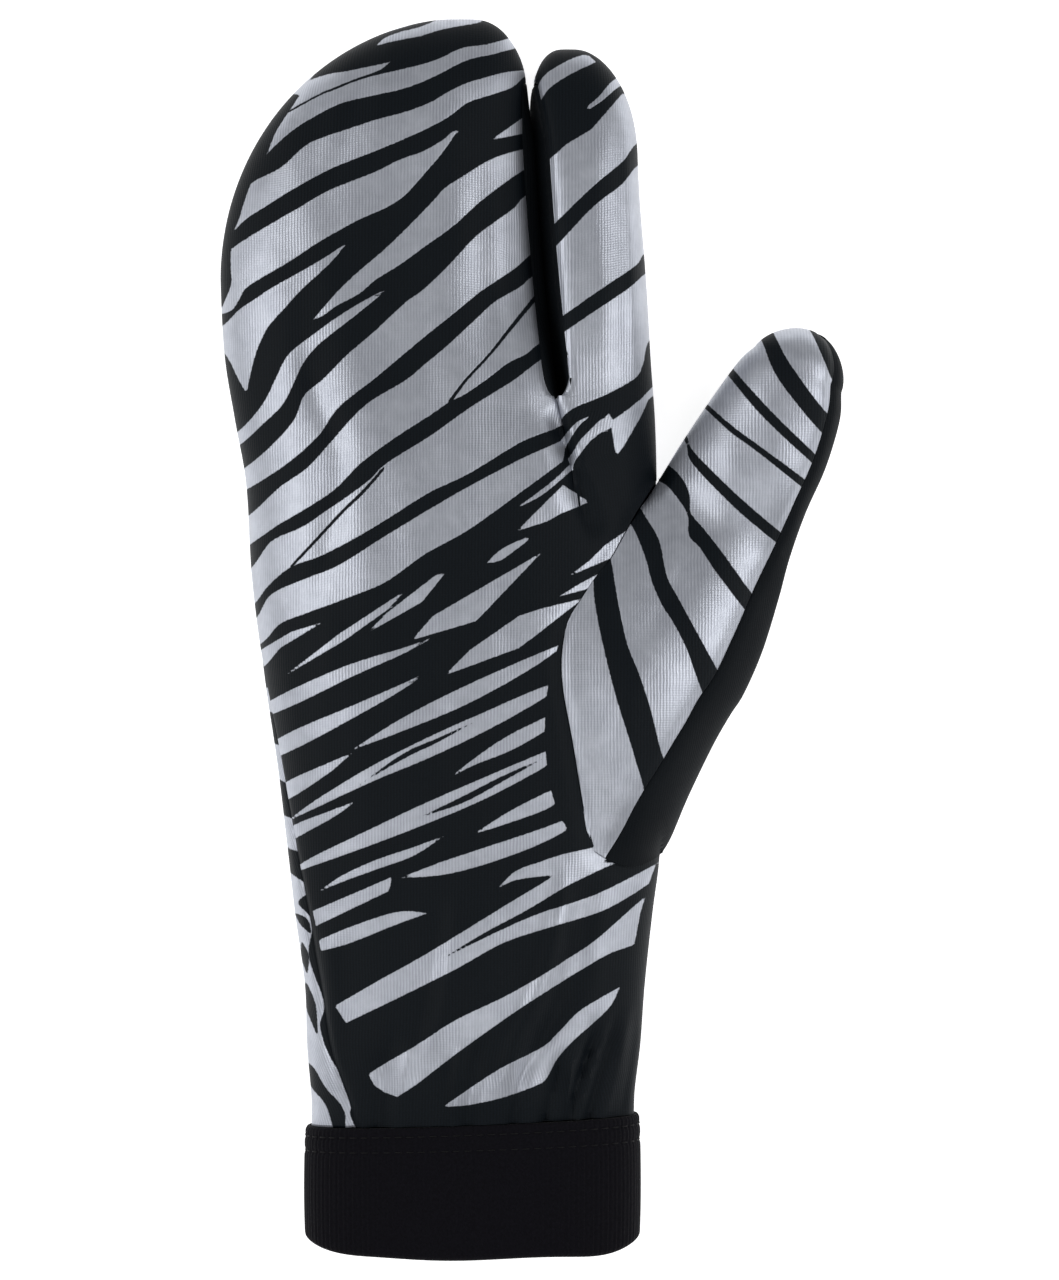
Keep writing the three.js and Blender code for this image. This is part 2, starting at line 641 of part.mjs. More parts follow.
// The cuff's outer surface at a station, inset towards its middle.
function cuffPoint(y, inset, angle) {
  const half = (CUFF.right - CUFF.left) / 2;
  const across = signedPower(Math.cos(angle), 2 / SQUARE);
  const up = Math.abs(Math.sin(angle)) ** (2 / SQUARE);
  const x = (CUFF.left + CUFF.right) / 2 + (half - inset) * across;
  const lifted = y + hemLift(x, y, CUFF.topY);
  const top = SEAM_Z + up * (CUFF.top - SEAM_Z - inset);
  const bottom = Math.max(inset, 0, SEAM_Z - up * (SEAM_Z + FLATTEN - inset));
  return new THREE.Vector3(x, lifted, Math.sin(angle) >= 0 ? top : bottom);
}

function cuffGeometry() {
  const profile = [
    { y: CUFF.topY - SEAM_GAP, inset: 0 },
    { y: CUFF.topY - CUFF_SWELL_FROM, inset: -CUFF_SWELL },
    { y: CUFF.topY - CUFF_SWELL_TO, inset: -CUFF_SWELL },
  ];
  for (let i = 0; i <= CUFF_FOLD_STEPS; i++) {
    const turn = (i / CUFF_FOLD_STEPS) * Math.PI;
    const inset = (CUFF_WALL / 2) * (1 - Math.cos(turn));
    profile.push({ y: CUFF.bottomY + CUFF.round * (1 - Math.sin(turn)), inset });
  }
  profile.push({ y: CUFF.topY - CUFF_INNER_STATION, inset: CUFF_WALL });
  profile.push({ y: CUFF.topY - SEAM_GAP, inset: CUFF_WALL });
  const points = [];
  const faces = [];
  profile.forEach(({ y, inset }, i) => {
    const next = (i + 1) % profile.length;
    for (let j = 0; j < CUFF_COLUMNS; j++) {
      points.push(cuffPoint(y, inset, (j / CUFF_COLUMNS) * 2 * Math.PI));
      const beside = (j + 1) % CUFF_COLUMNS;
      const [a, b] = [i * CUFF_COLUMNS + j, i * CUFF_COLUMNS + beside];
      const [c, d] = [next * CUFF_COLUMNS + beside, next * CUFF_COLUMNS + j];
      faces.push(a, b, c, a, c, d);
    }
  });
  return geometryOf(points, faces);
}

function namedMesh(name, geometry, look) {
  const placed = geometry.translate(-CENTRE_X, -CENTRE_Y, 0);
  placed.computeVertexNormals();
  const mesh = new THREE.Mesh(placed, new THREE.MeshStandardMaterial(look));
  mesh.name = name;
  return mesh;
}

function buildMitten() {
  const palm = palmPatch();
  const back = backPatch();
  const fourchette = fourchettePatch();
  const handNormals = normalsOf(joinPatches(palm, back, fourchette));
  const rows = thumbRows();
  const thumbFront = thumbFrontPatch(rows);
  const thumbBack = thumbBackPatch(rows);
  const thumbNormals = normalsOf(joinPatches(thumbFront, thumbBack));
  const tip = rows.slice(-1);
  for (const point of [...thumbFrontPatch(tip).points, ...thumbBackPatch(tip).points]) {
    thumbNormals.get(keyOf(point)).setZ(0).normalize();
  }
  const wholePalm = solidOf(thicken(palm, handNormals, WALL));
  const palmGeometry = geometryOfSolid(wholePalm.subtract(thumbHole()));

  const group = new THREE.Group();
  group.add(
    namedMesh("palm_panel", palmGeometry, MATERIALS.printed),
    namedMesh("back_panel", thicken(back, handNormals, WALL), MATERIALS.printed),
    namedMesh("finger_fourchette", thicken(fourchette, handNormals, WALL), MATERIALS.black),
    namedMesh("thumb_front", thicken(thumbFront, thumbNormals, WALL), MATERIALS.printed),
    namedMesh("thumb_back", thicken(thumbBack, thumbNormals, WALL), MATERIALS.black),
    namedMesh("cuff_band", cuffGeometry(), MATERIALS.cuff),
  );
  return group;
}

const group = buildMitten();

export default group;
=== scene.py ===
# A running mitten of printed stretch fabric, dressed around its CAD frame.
# Sizes are in millimetres until a mesh is made. +X points to the thumb, +Y to the fingertips, +Z up.

import json
import math
from collections import namedtuple

import bpy
import numpy as np
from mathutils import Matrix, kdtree

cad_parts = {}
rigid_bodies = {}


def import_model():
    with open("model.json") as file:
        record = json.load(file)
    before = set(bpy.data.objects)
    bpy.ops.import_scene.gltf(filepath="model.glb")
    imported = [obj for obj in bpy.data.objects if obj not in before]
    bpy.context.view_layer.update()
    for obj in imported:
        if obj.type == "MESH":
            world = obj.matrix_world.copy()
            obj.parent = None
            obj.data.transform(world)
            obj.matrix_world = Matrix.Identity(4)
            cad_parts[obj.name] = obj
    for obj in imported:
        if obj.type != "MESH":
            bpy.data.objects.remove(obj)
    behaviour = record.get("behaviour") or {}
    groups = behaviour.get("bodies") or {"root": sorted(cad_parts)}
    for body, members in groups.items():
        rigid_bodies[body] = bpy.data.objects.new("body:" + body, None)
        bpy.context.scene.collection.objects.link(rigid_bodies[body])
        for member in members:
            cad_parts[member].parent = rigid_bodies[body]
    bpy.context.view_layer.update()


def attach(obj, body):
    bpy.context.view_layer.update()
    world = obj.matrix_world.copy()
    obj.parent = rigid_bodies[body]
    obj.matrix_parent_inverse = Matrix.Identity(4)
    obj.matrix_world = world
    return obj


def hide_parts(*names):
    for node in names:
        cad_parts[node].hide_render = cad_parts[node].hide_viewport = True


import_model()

# Driving sizes
METRES = 0.001
WALL = 1.2
CUFF_WALL = 2.4
SEAM_GAP = 0.1
SEAM_Z = 14
FLATTEN = 3
SQUARE = 2.4
INDEX_SQUARE = 3.6
CENTRE = np.array([-0.08, 1.1, 0])


def table(columns, *rows):
    """A table with named columns, each of them an array."""
    return dict(zip(columns.split(), np.array(rows, float).T))


# The outline of the hand from the cuff to the fingers, and the height of its palm side
HAND = table(
    "y left right top",
    (-110, -49.9, 23.4, 27.5),
    (-104, -49.9, 23.6, 28.5),
    (-92, -50.9, 24.8, 30),
    (-78, -51.4, 25.8, 31.5),
    (-62, -53.6, 27.5, 33),
    (-48, -55.2, 29.2, 34.5),
    (-28, -57.6, 29.5, 36),
    (-8, -60.6, 29.3, 36.5),
    (14, -63.4, 28.9, 36),
    (36, -64.8, 28.5, 35),
    (50, -67.3, 28.1, 33.5),
    (64, -69.6, 27.1, 32),
    (82, -70.6, 26, 30.5),
    (100, -70.6, 24.6, 29.5),
    (112, -70.6, 24.1, 29),
    (142, -70.6, 23.9, 28),
)

# Where the two finger compartments meet
SLOT = table(
    "y x",
    (-110, -8),
    (-60, -2),
    (-20, 5),
    (20, 10),
    (40, 8.7),
    (55.8, 5.4),
    (70, 3.6),
    (84, 2.2),
    (100, 0.9),
    (120, -0.3),
    (142, -1),
)
CROTCH_Y = 54.8
SLOT_HALF = 0.5
SLOT_ROUND = 1.6
SLOT_EDGE = {"outer": 30, "index": 12}
AIR_FADE = 6
SLOT_LEAN = 1.3
SLOT_COLUMNS = {"outer": 0.25, "index": 0.5}
WEB_ABOVE = 26
WEB_BELOW = 30
WEB_SHARE = 0.84

# Rounded ends of the three-finger compartment, the outer side of the hand, and of the index finger
FINGER_END = {
    "outer": dict(x=-14, outer_y=82, outer_reach=59.4, inner_y=125.5, inner_reach=15.9, tip=141),
    "index": dict(x=8.5, outer_y=110, outer_reach=24.6, inner_y=122.5, inner_reach=12.2, tip=134.2),
}
TIP_DOME = 34
INDEX_HEIGHT = 0.93
OUTER_INSET = 1.5
INDEX_INSET = 3.1
BACK_INSET = 1.2
INSET_ROUND = 4
FOURCHETTE_TOP = 126.5
FOURCHETTE_TAPER = 14
FOURCHETTE_ROUND = 0.7

# How far the little-finger side seam lies on the palm side
SEAM_DRIFT = table(
    "y inset",
    (-110, 10.2),
    (-105, 9),
    (-91, 5.4),
    (-75, 3.6),
    (-62, 3.3),
    (-48, 2.2),
    (-30, 1),
    (-10, 0.2),
    (0, 0),
    (142, 0),
)

# Cross sections of the thumb from its base to where its rounded end starts
THUMB = table(
    "at left_x left_y right_x right_y split under_y left_z right_z crown belly",
    (0, 14.3, -47.2, 29.6, -48.2, 0.15, -46.8, 14, 15, 0, 0),
    (1, 11.6, -37, 31.6, -44.6, 0.464, -42, 14, 15.5, 1.5, 0.5),
    (2, 9, -22, 35.5, -35.2, 0.672, -33, 14, 16.5, 3.5, 1.5),
    (3, 6.7, -8, 41, -23.7, 0.778, -23, 14, 17.5, 5, 3),
    (4, 7.6, 2, 44.9, -16.8, 0.8, -14, 14, 18, 5.5, 4),
    (5, 11.5, 10, 48, -11.9, 0.811, -4, 14, 18.5, 6, 5),
    (6, 17.5, 18.3, 52.1, -2.5, 0.81, 8, 14, 19, 7, 6),
    (7, 23.3, 28.5, 55.7, 9.1, 0.836, 21, 14, 19.5, 9, 7),
    (8, 28.5, 36.6, 58.3, 18.8, 0.876, 36, 15, 20, 12, 8),
    (9, 34, 45.4, 61.8, 28.8, 0.896, 0, 17.5, 20.5, 12.5, 9.5),
    (10, 40.2, 54.6, 66.3, 39, 0.889, 0, 19.5, 21, 12, 10),
    (11, 46.5, 63.2, 69.4, 49.5, 0.875, 0, 21, 21.5, 11.5, 10),
    (12, 50.2, 66.6, 69.8, 56, 0.87, 0, 21.5, 21.5, 10.5, 9.5),
)
THUMB_LAST = 12
THUMB_CROTCH_ROW = 8
THUMB_END_REACH = 9.2
THUMB_END_ROUND = 1.6
THUMB_BASE_BOW = 3
THUMB_END_OPEN = 0.12
THUMB_ROUND = 2.1
THUMB_BALL = 0.6
THUMB_BALL_SKEW = 1.4
CORNER_REACH = 10
CORNER_WALL = 0.08
EASE_SECTIONS = 7
EASE_ROWS = 1.6
EASE_EDGE = 0.1
THUMB_FREE_BEFORE = 1.5
THUMB_FREE_AFTER = 1
THUMB_ON_HAND = 1.5

# Cuff band
CUFF_LEFT = -51.3
CUFF_RIGHT = 24.5
CUFF_HEIGHT = 29
CUFF_BOTTOM_Y = -138.8
CUFF_TOP_Y = -109.8
CUFF_ROUND = 1.4
HEM_LIFT = 2.8
HEM_FADE = 22
CUFF_PROUD = 1.3
CUFF_SWELL = 0.25
RIB_PITCH = 1.15
RIB_DEPTH = 0.09
CUFF_CORNER = 3.4
CUFF_CORNER_REACH = 15
CUFF_CORNER_POWER = 2.6
CUFF_WAVE = 0.35
CUFF_CORNER_FADE = 3
CUFF_WAVE_PER_MM = 0.14
CUFF_FIRST_ROWS = (0.15, 0.4, 0.8)
CUFF_ROWS = (1.5, 27.5, 0.8)
CUFF_TURN_ROWS = 9
CUFF_INNER_ROWS = (20, 10, 0.15)
CUFF_MIDDLE_Y = -124.8
CUFF_EDGE = 0.5
CUFF_EDGE_WIDTH = 0.7
ANGLE_STEPS = 4000
CUFF_STITCH_ROWS = (2.1, 5.4)
CHANNEL_DEPTH = 0.3
CHANNEL_WIDTH = 0.6
STITCH_PITCH = 2.6
STITCH_LENGTH = 1.9
STITCH_RADIUS = 0.16
STITCH_SAMPLES = 8
STITCH_POINTS = 6
STITCH_SINK = 0.145
STITCH_ARCH = 0.12
LOWEST_STITCH = 0.5
THREAD_SIDES = 6
THREAD_END = 0.05

# Folds, unevenness and sewn edges of the cloth
FOLD_REACH = 3
FOLD_Z = 32
FOLD_STEPS = 3
FOLD_FADE = 0.3
FOLD_SLACK = 0.5
RIPPLE_HEIGHT = 0.12
RIPPLES = table(
    "share per_x per_y start sway sway_per_y sway_start",
    (1, 0.31, 0, 0.4, 0.6, 0.05, 1),
    (0.7, 0.52, 0.09, 0, 0.8, 0.07, 0),
    (0.5, -0.12, 0.19, 2, 0, 0, 0),
)
SEAM_DIP = 0.55
SEAM_DIP_WIDTH = 1.3
THUMB_SEAM_DIP = 0.7
THUMB_FRONT_DIP = 0.42
THUMB_SEAM_WIDTH = 1.8
THUMB_HAND_GAP = 0.3
THUMB_HAND_RISE = 0.6
CUT_RIGHT = 75
CUT_HUB_X = 50
CUT_TOP = 56
SHARP_DEGREES = 50

# Mesh steps. The hidden inner side of a cloth has one row and column for every few of the outer side.
COARSE = 4
ROW_STEP = 0.618
CROTCH_ROWS = (0.15, 0.45, 0.9)
END_Y = 124
END_ROWS = 44
OUTER_COLUMNS = 144
INDEX_COLUMNS = 56
BACK_OUTER_COLUMNS = 84
BACK_INDEX_COLUMNS = 36
FOURCHETTE_COLUMNS = 24
THUMB_STEP = 0.0625
THUMB_END_ROWS = 20
THUMB_FRONT_COLUMNS = 84
THUMB_SIDE_COLUMNS = 16
THUMB_UNDER_COLUMNS = 44
THUMB_BASE_POINTS = 40
CUFF_COLUMNS = 600
NO_SEAM = 99.0
BACK_SIDE = 1e-9
LEAST_MITRE = 0.5
KEYS_PER_MM = 1e4
TINY = 1e-12

# The camera looks straight down from a metre over the seams, and the print is charted over what it
# sees, in the picture's own pixels.
PIXEL = 0.227
PIXEL_X0 = 531.5
PIXEL_Y0 = 641
PICTURE_WIDTH = 1059
PICTURE_HEIGHT = 1280
CAMERA_DISTANCE = 1000
CAMERA_X = (PICTURE_WIDTH / 2 - PIXEL_X0) * PIXEL
CAMERA_Y = (PIXEL_Y0 - PICTURE_HEIGHT / 2) * PIXEL
SENSOR = 36
INK_REACH = 16
BLADE_REACH = 4.5
FAR = 99.0
INDEX_PRINT_DROP = 12
NO_BLADE = (FAR, -FAR, 0.0)

# Plain zebra stripes of the back, which the picture doesn't show
STRIPE_SLANT = 0.55
STRIPE_BENDS = table("size per_x per_y start", (5, 0.06, 0.02, 0), (3, 0, 0.045, 1))
STRIPE_WAVES = table(
    "share per_slant per_x per_y",
    (1, 0.42, 0, 0),
    (0.45, 0.21, 0.11, 0),
    (0.25, 0, 0.15, -0.07),
)
STRIPE_DEPTH = 1.6
WRIST_CHART_Y = (-60, -55)
WRIST_CHART_BELOW_SEAM = (5, 1)

# Colours of the cloths in sRGB, 0 to 255
SILVER_TONES = ((178, 182, 191), (190, 194, 203))
# Darker silver painted between the knit's wales: painted shade in the grooves, patchy at random
SILVER_GROOVE_SHADE = (150, 153, 164)
# Black of the print, darker in the knit's grooves and lighter on its ribs: painted shade and light
PRINTED_BLACK_SHADED_TO_LIT = ((5, 10, 15), (12, 19, 25))
# Plain black cloth, darker in the knit's grooves and lighter on its ribs: painted shade and light
PLAIN_BLACK_SHADED_TO_LIT = ((5, 9, 13), (11, 16, 21))
WORN_BLACK = (18, 22, 26)
CUFF_TONES = ((7, 6, 11), (13, 12, 18))
THREAD_TONES = ((6, 6, 8), (13, 12, 15))
FLOOR_TONES = ((244, 244, 244), (248, 248, 248))
WHITE = (1, 1, 1, 1)

# Noises: waves to the metre, detail, the values between which each is read, and what it gives there
NOISES = {
    "wobble": (260, 2, 0, 1, 0, 0.35),
    "ragged": (1500, 2, 0, 1, -0.15, 0.15),
    "mottle": (420, 4, 0.3, 0.7, 0, 1),
    "uneven": (140, 3, 0.35, 0.65, 0.25, 0.75),
    "patches": (60, 3, 0.3, 0.7, 0, 0.3),
    "fuzz": (1800, 3, 0.3, 0.7, 0, 1),
    "thread": (3000, 2, 0, 1, 0, 1),
    "floor": (3, 2, 0, 1, 0, 1),
}
WALE = 0.72
COURSE = 0.55
WALE_SHARE = 0.7
FILM_EDGE = 0.08
FILM_METALLIC = 0.6
FILM_ROUGHNESS = 0.4
CLOTH_ROUGHNESS = 0.58
FILM_BUMP = 0.05
PRINTED_BUMP = 0.045
KNIT_BUMP = 0.05
FUZZ_BUMP = 0.05
CUFF_SHEEN = 0.03
SHINE = {
    "printed_fabric": 0.12,
    "black_fabric": 0.12,
    "cuff_knit": 0.1,
    "black_thread": 0.2,
    "pale_floor": 0.1,
}
ROUGHNESS = {"black_fabric": 0.75, "cuff_knit": 0.9, "black_thread": 0.6, "pale_floor": 0.9}

# Stage, in metres
FLOOR_HALF = 3
FLOOR_GLOW = 0.8
STUDIO_LIGHT = 0.3
SOFTBOXES = table(
    "x y z size power",
    (-1.15, 0.1, 1.0, 0.9, 7.9),
    (1.15, 0.0, 1.0, 0.9, 8.4),
    (0.0, -0.75, 1.5, 0.8, 3.7),
)

Shape = namedtuple("Shape", "ink edge back")
Blade = namedtuple("Blade", "ink line")
Fold = namedtuple("Fold", "depth width line")
SILVER = 1
DARK = -1


def lens(ink, edge, back):
    """A stripe between two smooth edges, which come to a point where they share an end."""
    return Shape(ink, smooth_line(edge), smooth_line(back))


def wedge(ink, *corners):
    """A shape with straight sides."""
    return Shape(ink, np.array(corners, float), np.empty((0, 2)))


def streak(ink, *points):
    """A stripe along a line, with its width at each point of it."""
    line = smooth_line(points)
    along = np.gradient(line[:, :2], axis=0)
    along /= np.linalg.norm(along, axis=1, keepdims=True)
    side = np.stack([-along[:, 1], along[:, 0]], axis=1) * line[:, 2:] / 2
    return Shape(ink, line[:, :2] + side, line[:, :2] - side)


def blade(ink, *points):
    """A stripe too thin for its outline, kept as its line and its width at each point of it."""
    return Blade(ink, smooth_line(points))


def smooth_line(points, steps=6):
    """A smooth curve through points, as a fine polyline."""
    p = np.array(points, float)
    if len(p) < 3:
        return p
    ends = np.concatenate([[2 * p[0] - p[1]], p, [2 * p[-1] - p[-2]]])
    t = np.linspace(0, 1, steps, endpoint=False)[:, None]
    parts = []
    for a, b, c, d in zip(ends, ends[1:], ends[2:], ends[3:]):
        bend = (c - a) * t + (2 * a - 5 * b + 4 * c - d) * t**2 + (3 * b - a - 3 * c + d) * t**3
        parts.append(b + bend / 2)
    return np.concatenate(parts + [p[-1:]])


def straight_fold(x0, y0, x1, y1, depth, width):
    """A fold between two places in millimetres."""
    return Fold(depth, width, np.array([(x0, y0), (x1, y1)], float))


def fold(depth, width, *places):
    """A fold through places of the picture: its depth below the cloth, or above it where it is
    negative, and half its width, in millimetres."""
    line = (smooth_line(places, FOLD_STEPS) - (PIXEL_X0, PIXEL_Y0)) * (PIXEL, -PIXEL)
    shrink = 1 - (FOLD_Z - SEAM_Z) / CAMERA_DISTANCE
    middle = np.array([CAMERA_X, CAMERA_Y])
    return Fold(depth, width, middle + (line - middle) * shrink)


HAND_FOLDS = [
    # those of the solid
    straight_fold(4.5, 53, 9.5, 38, 2.0, 2.2),
    straight_fold(9, 40, 15.5, 22, 1.2, 2.8),
    straight_fold(1, 52, 5, 28, -0.6, 3.5),
    straight_fold(15, -82, 10, -118, 1.2, 2.4),
    straight_fold(20, -84, 17, -118, 1.3, 2.2),
    straight_fold(4, -90, 3, -118, 0.7, 2.6),
    straight_fold(-34, -90, -35, -118, 0.7, 2.6),
    straight_fold(-19, -92, -19, -118, 0.6, 2.4),
    straight_fold(-46, -60, -45, -92, -0.8, 2.5),
    straight_fold(-41, 68, -35, 0, -0.4, 6),
    straight_fold(-21, 108, -11, 22, -0.4, 7),
    # three-finger side
    fold(-0.7, 3.0, (492, 110), (501, 250), (509, 320), (526, 385), (556, 480)),
    fold(0.4, 2.6, (474, 150), (480, 280), (487, 350), (504, 440)),
    fold(-0.6, 6.5, (318, 120), (326, 240), (340, 310), (357, 385), (384, 440), (405, 485), (414, 540),
         (405, 660)),
    fold(0.6, 2.6, (292, 300), (316, 395), (340, 455), (334, 520), (306, 630)),
    fold(0.4, 2.4, (364, 40), (350, 110), (330, 190)),
    fold(-0.3, 2.6, (388, 40), (379, 110), (366, 190)),
    fold(-0.3, 4.5, (452, 150), (458, 250), (454, 370)),
    # index finger
    fold(-0.3, 2.0, (592, 80), (597, 200), (601, 300), (605, 420)),
    fold(0.35, 1.5, (615, 80), (621, 200), (625, 300), (627, 410)),
    fold(-0.3, 1.3, (626, 90), (631, 210), (634, 300), (634, 410)),
    # pinch below the slot
    fold(0.9, 1.1, (551, 414), (562, 441), (570, 461), (578, 488), (592, 540)),
    fold(-0.6, 1.5, (562, 408), (576, 440), (585, 464), (604, 510)),
    fold(-0.4, 2.2, (540, 425), (550, 470), (564, 525)),
    fold(0.4, 2.6, (596, 425), (614, 480), (640, 540)),
    # palm
    fold(0.4, 3.5, (426, 580), (440, 700), (434, 850)),
    fold(-0.4, 4.0, (478, 560), (486, 700), (478, 860)),
    fold(-0.4, 3.0, (332, 580), (322, 720), (332, 860)),
    # wrist
    fold(-2.2, 13, (480, 840), (484, 1000), (478, 1180)),
    fold(-0.5, 2.4, (314, 900), (330, 980), (334, 1030), (328, 1130)),
    fold(0.8, 2.4, (440, 890), (432, 970), (414, 1060)),
    fold(-0.5, 2.6, (456, 880), (448, 975), (430, 1070)),
    fold(-1.7, 2.6, (568, 850), (559, 925), (541, 990), (514, 1050), (490, 1120)),
    fold(1.3, 2.4, (588, 855), (580, 930), (563, 1000), (538, 1050), (514, 1120)),
    fold(-0.5, 2.2, (606, 860), (602, 940), (590, 1010), (570, 1070)),
    # gathers above the cuff
    fold(1.5, 1.1, (538, 1178), (556, 1090), (574, 1020)),
    fold(1.4, 1.1, (561, 1178), (578, 1090), (600, 1020)),
    fold(1.6, 1.2, (582, 1176), (600, 1085), (622, 1000)),
    fold(1.4, 1.2, (616, 1172), (630, 1085), (640, 1000)),
    fold(-1.0, 1.0, (549, 1180), (567, 1090), (588, 1020)),
    fold(-1.1, 1.0, (571, 1178), (590, 1085), (612, 1010)),
    fold(-1.1, 1.2, (599, 1174), (616, 1085), (633, 1000)),
    fold(0.8, 1.6, (370, 1180), (382, 1080), (396, 1020)),
    fold(-0.7, 1.8, (392, 1180), (404, 1080), (416, 1030)),
    fold(0.9, 1.5, (462, 1180), (474, 1080), (486, 1020)),
    fold(-0.8, 1.5, (444, 1180), (455, 1090), (466, 1030)),
    fold(0.9, 1.3, (508, 1180), (520, 1090), (536, 1040)),
]
THUMB_FOLDS = [
    straight_fold(29, 36, 34, 6, 0.5, 3.4),
    straight_fold(36, 38, 37, 14, -0.2, 3.4),
    fold(0.5, 1.8, (680, 440), (672, 500), (662, 548), (650, 610)),
    fold(-0.35, 1.6, (694, 440), (686, 500), (676, 548), (664, 610)),
    fold(0.35, 3.0, (704, 540), (672, 592), (650, 628), (616, 664)),
    fold(-0.4, 3.0, (614, 530), (626, 585), (620, 630)),
    fold(-0.25, 2.6, (706, 420), (724, 480), (726, 540)),
    fold(0.25, 2.4, (722, 395), (744, 450), (752, 525)),
    fold(-0.25, 2.6, (742, 350), (768, 420), (780, 490)),
    fold(-0.4, 3.0, (644, 640), (624, 740), (608, 820)),
]

# Print of the three-finger side, on silver
FINGER_PRINT = [
    lens(
        DARK,
        [(330, 52), (381, 34), (404, 27), (436, 17), (460, 10), (479, 5), (494, 2), (530, 0)],
        [(290, 108), (299, 104), (319, 95), (336, 88), (353, 81), (373, 76), (399, 70), (427, 63),
         (443, 57), (455, 51), (467, 47), (484, 45), (496, 42), (510, 38), (540, 30)],
    ),
    lens(
        SILVER,
        [(280, 92), (322, 76), (348, 71), (373, 66), (390, 62)],
        [(286, 120), (299, 106), (319, 96), (336, 88), (353, 82), (373, 75), (390, 62)],
    ),
    lens(
        DARK,
        [(240, 190), (267, 154), (293, 130), (317, 115), (342, 103), (375, 95), (402, 89), (424, 81),
         (443, 72), (460, 63), (474, 58), (489, 55), (501, 52), (516, 48), (540, 40)],
        [(230, 210), (251, 184), (267, 175), (283, 166), (305, 146), (324, 137), (348, 129), (375, 120),
         (405, 112), (429, 103), (450, 91), (467, 83), (484, 78), (502, 73), (517, 71), (540, 70)],
    ),
    lens(
        DARK,
        [(215, 250), (233, 232), (246, 219), (263, 208), (290, 191), (330, 169), (375, 151), (399, 141),
         (426, 129), (448, 117), (467, 103), (484, 97), (503, 91), (514, 86), (524, 77), (545, 60)],
        [(215, 262), (233, 248), (249, 237), (269, 225), (300, 207), (330, 190), (375, 172), (399, 160),
         (424, 151), (443, 140), (459, 131), (500, 150), (545, 150)],
    ),
    lens(
        DARK,
        [(300, 95), (288, 113), (276, 132), (267, 154), (258, 172), (251, 184), (245, 200), (239, 219),
         (234, 232), (231, 250), (231, 269), (231, 285), (222, 308)],
        [(270, 90), (210, 180), (190, 308)],
    ),
    lens(
        SILVER,
        [(376, 46), (385, 38), (400, 32), (420, 27), (440, 19), (460, 14), (494, 12)],
        [(376, 46), (390, 42), (400, 40), (420, 36), (440, 30), (460, 26), (480, 22), (494, 12)],
    ),
    # two stripes that run together, then the silver in and beside them
    lens(
        DARK,
        [(540, 80), (500, 100), (459, 131), (450, 142), (438, 158), (424, 174), (405, 195), (385, 208),
         (358, 220), (336, 232), (317, 243), (290, 261), (263, 277), (246, 288), (241, 296), (233, 309),
         (222, 314), (205, 318)],
        [(555, 172), (524, 197), (514, 208), (496, 221), (474, 238), (450, 264), (424, 289), (405, 303),
         (375, 331), (348, 354), (336, 366), (322, 380), (304, 396), (294, 420), (270, 447), (245, 468),
         (215, 488)],
    ),
    lens(
        SILVER,
        [(555, 142), (525, 149), (502, 155), (484, 163), (465, 175), (445, 188), (434, 200), (411, 224),
         (385, 249), (365, 266), (346, 283), (329, 301), (312, 321)],
        [(555, 150), (525, 169), (506, 182), (482, 200), (453, 226), (424, 247), (399, 265), (375, 280),
         (360, 293), (336, 306), (324, 315), (312, 321)],
    ),
    lens(
        SILVER,
        [(205, 338), (225, 324), (239, 310), (255, 299), (273, 287), (300, 272), (324, 258), (347, 243)],
        [(205, 330), (226, 355), (238, 378), (246, 391), (249, 380), (255, 356), (260, 343), (268, 327),
         (282, 311), (302, 289), (329, 264), (347, 243)],
    ),
    wedge(SILVER, (491, 140), (524, 117), (526, 133)),
    lens(
        SILVER,
        [(388, 288), (360, 303), (336, 318), (318, 331), (293, 350), (283, 363), (275, 380), (262, 405),
         (240, 430), (215, 445)],
        [(388, 288), (373, 301), (348, 321), (330, 335), (314, 349), (302, 365), (295, 380), (283, 404),
         (264, 423), (241, 444), (215, 460)],
    ),
    lens(
        DARK,
        [(550, 240), (531, 254), (514, 269), (484, 289), (465, 304), (448, 318), (424, 337), (399, 358),
         (375, 378), (339, 407), (318, 436), (288, 463), (251, 487), (225, 500)],
        [(555, 264), (532, 277), (520, 287), (496, 301), (478, 317), (448, 345), (424, 365), (406, 380),
         (371, 401), (350, 420), (331, 442), (307, 468), (280, 487), (251, 514), (225, 530)],
    ),
    lens(
        DARK,
        [(560, 330), (537, 345), (526, 354), (508, 363), (487, 379), (465, 394), (449, 402), (430, 415),
         (393, 439), (361, 463), (334, 490), (302, 511), (278, 525), (255, 541), (235, 555)],
        [(560, 348), (539, 361), (514, 380), (490, 395), (468, 409), (430, 436), (387, 463), (367, 482),
         (329, 509), (302, 527), (272, 541), (254, 565), (235, 585)],
    ),
    lens(
        DARK,
        [(580, 414), (556, 428), (521, 442), (468, 474), (430, 492), (387, 519), (350, 541), (318, 557),
         (291, 567), (270, 584), (256, 602), (240, 620)],
        [(580, 430), (561, 441), (521, 459), (468, 487), (430, 509), (387, 535), (339, 565), (307, 578),
         (272, 594), (258, 616), (240, 640)],
    ),
]

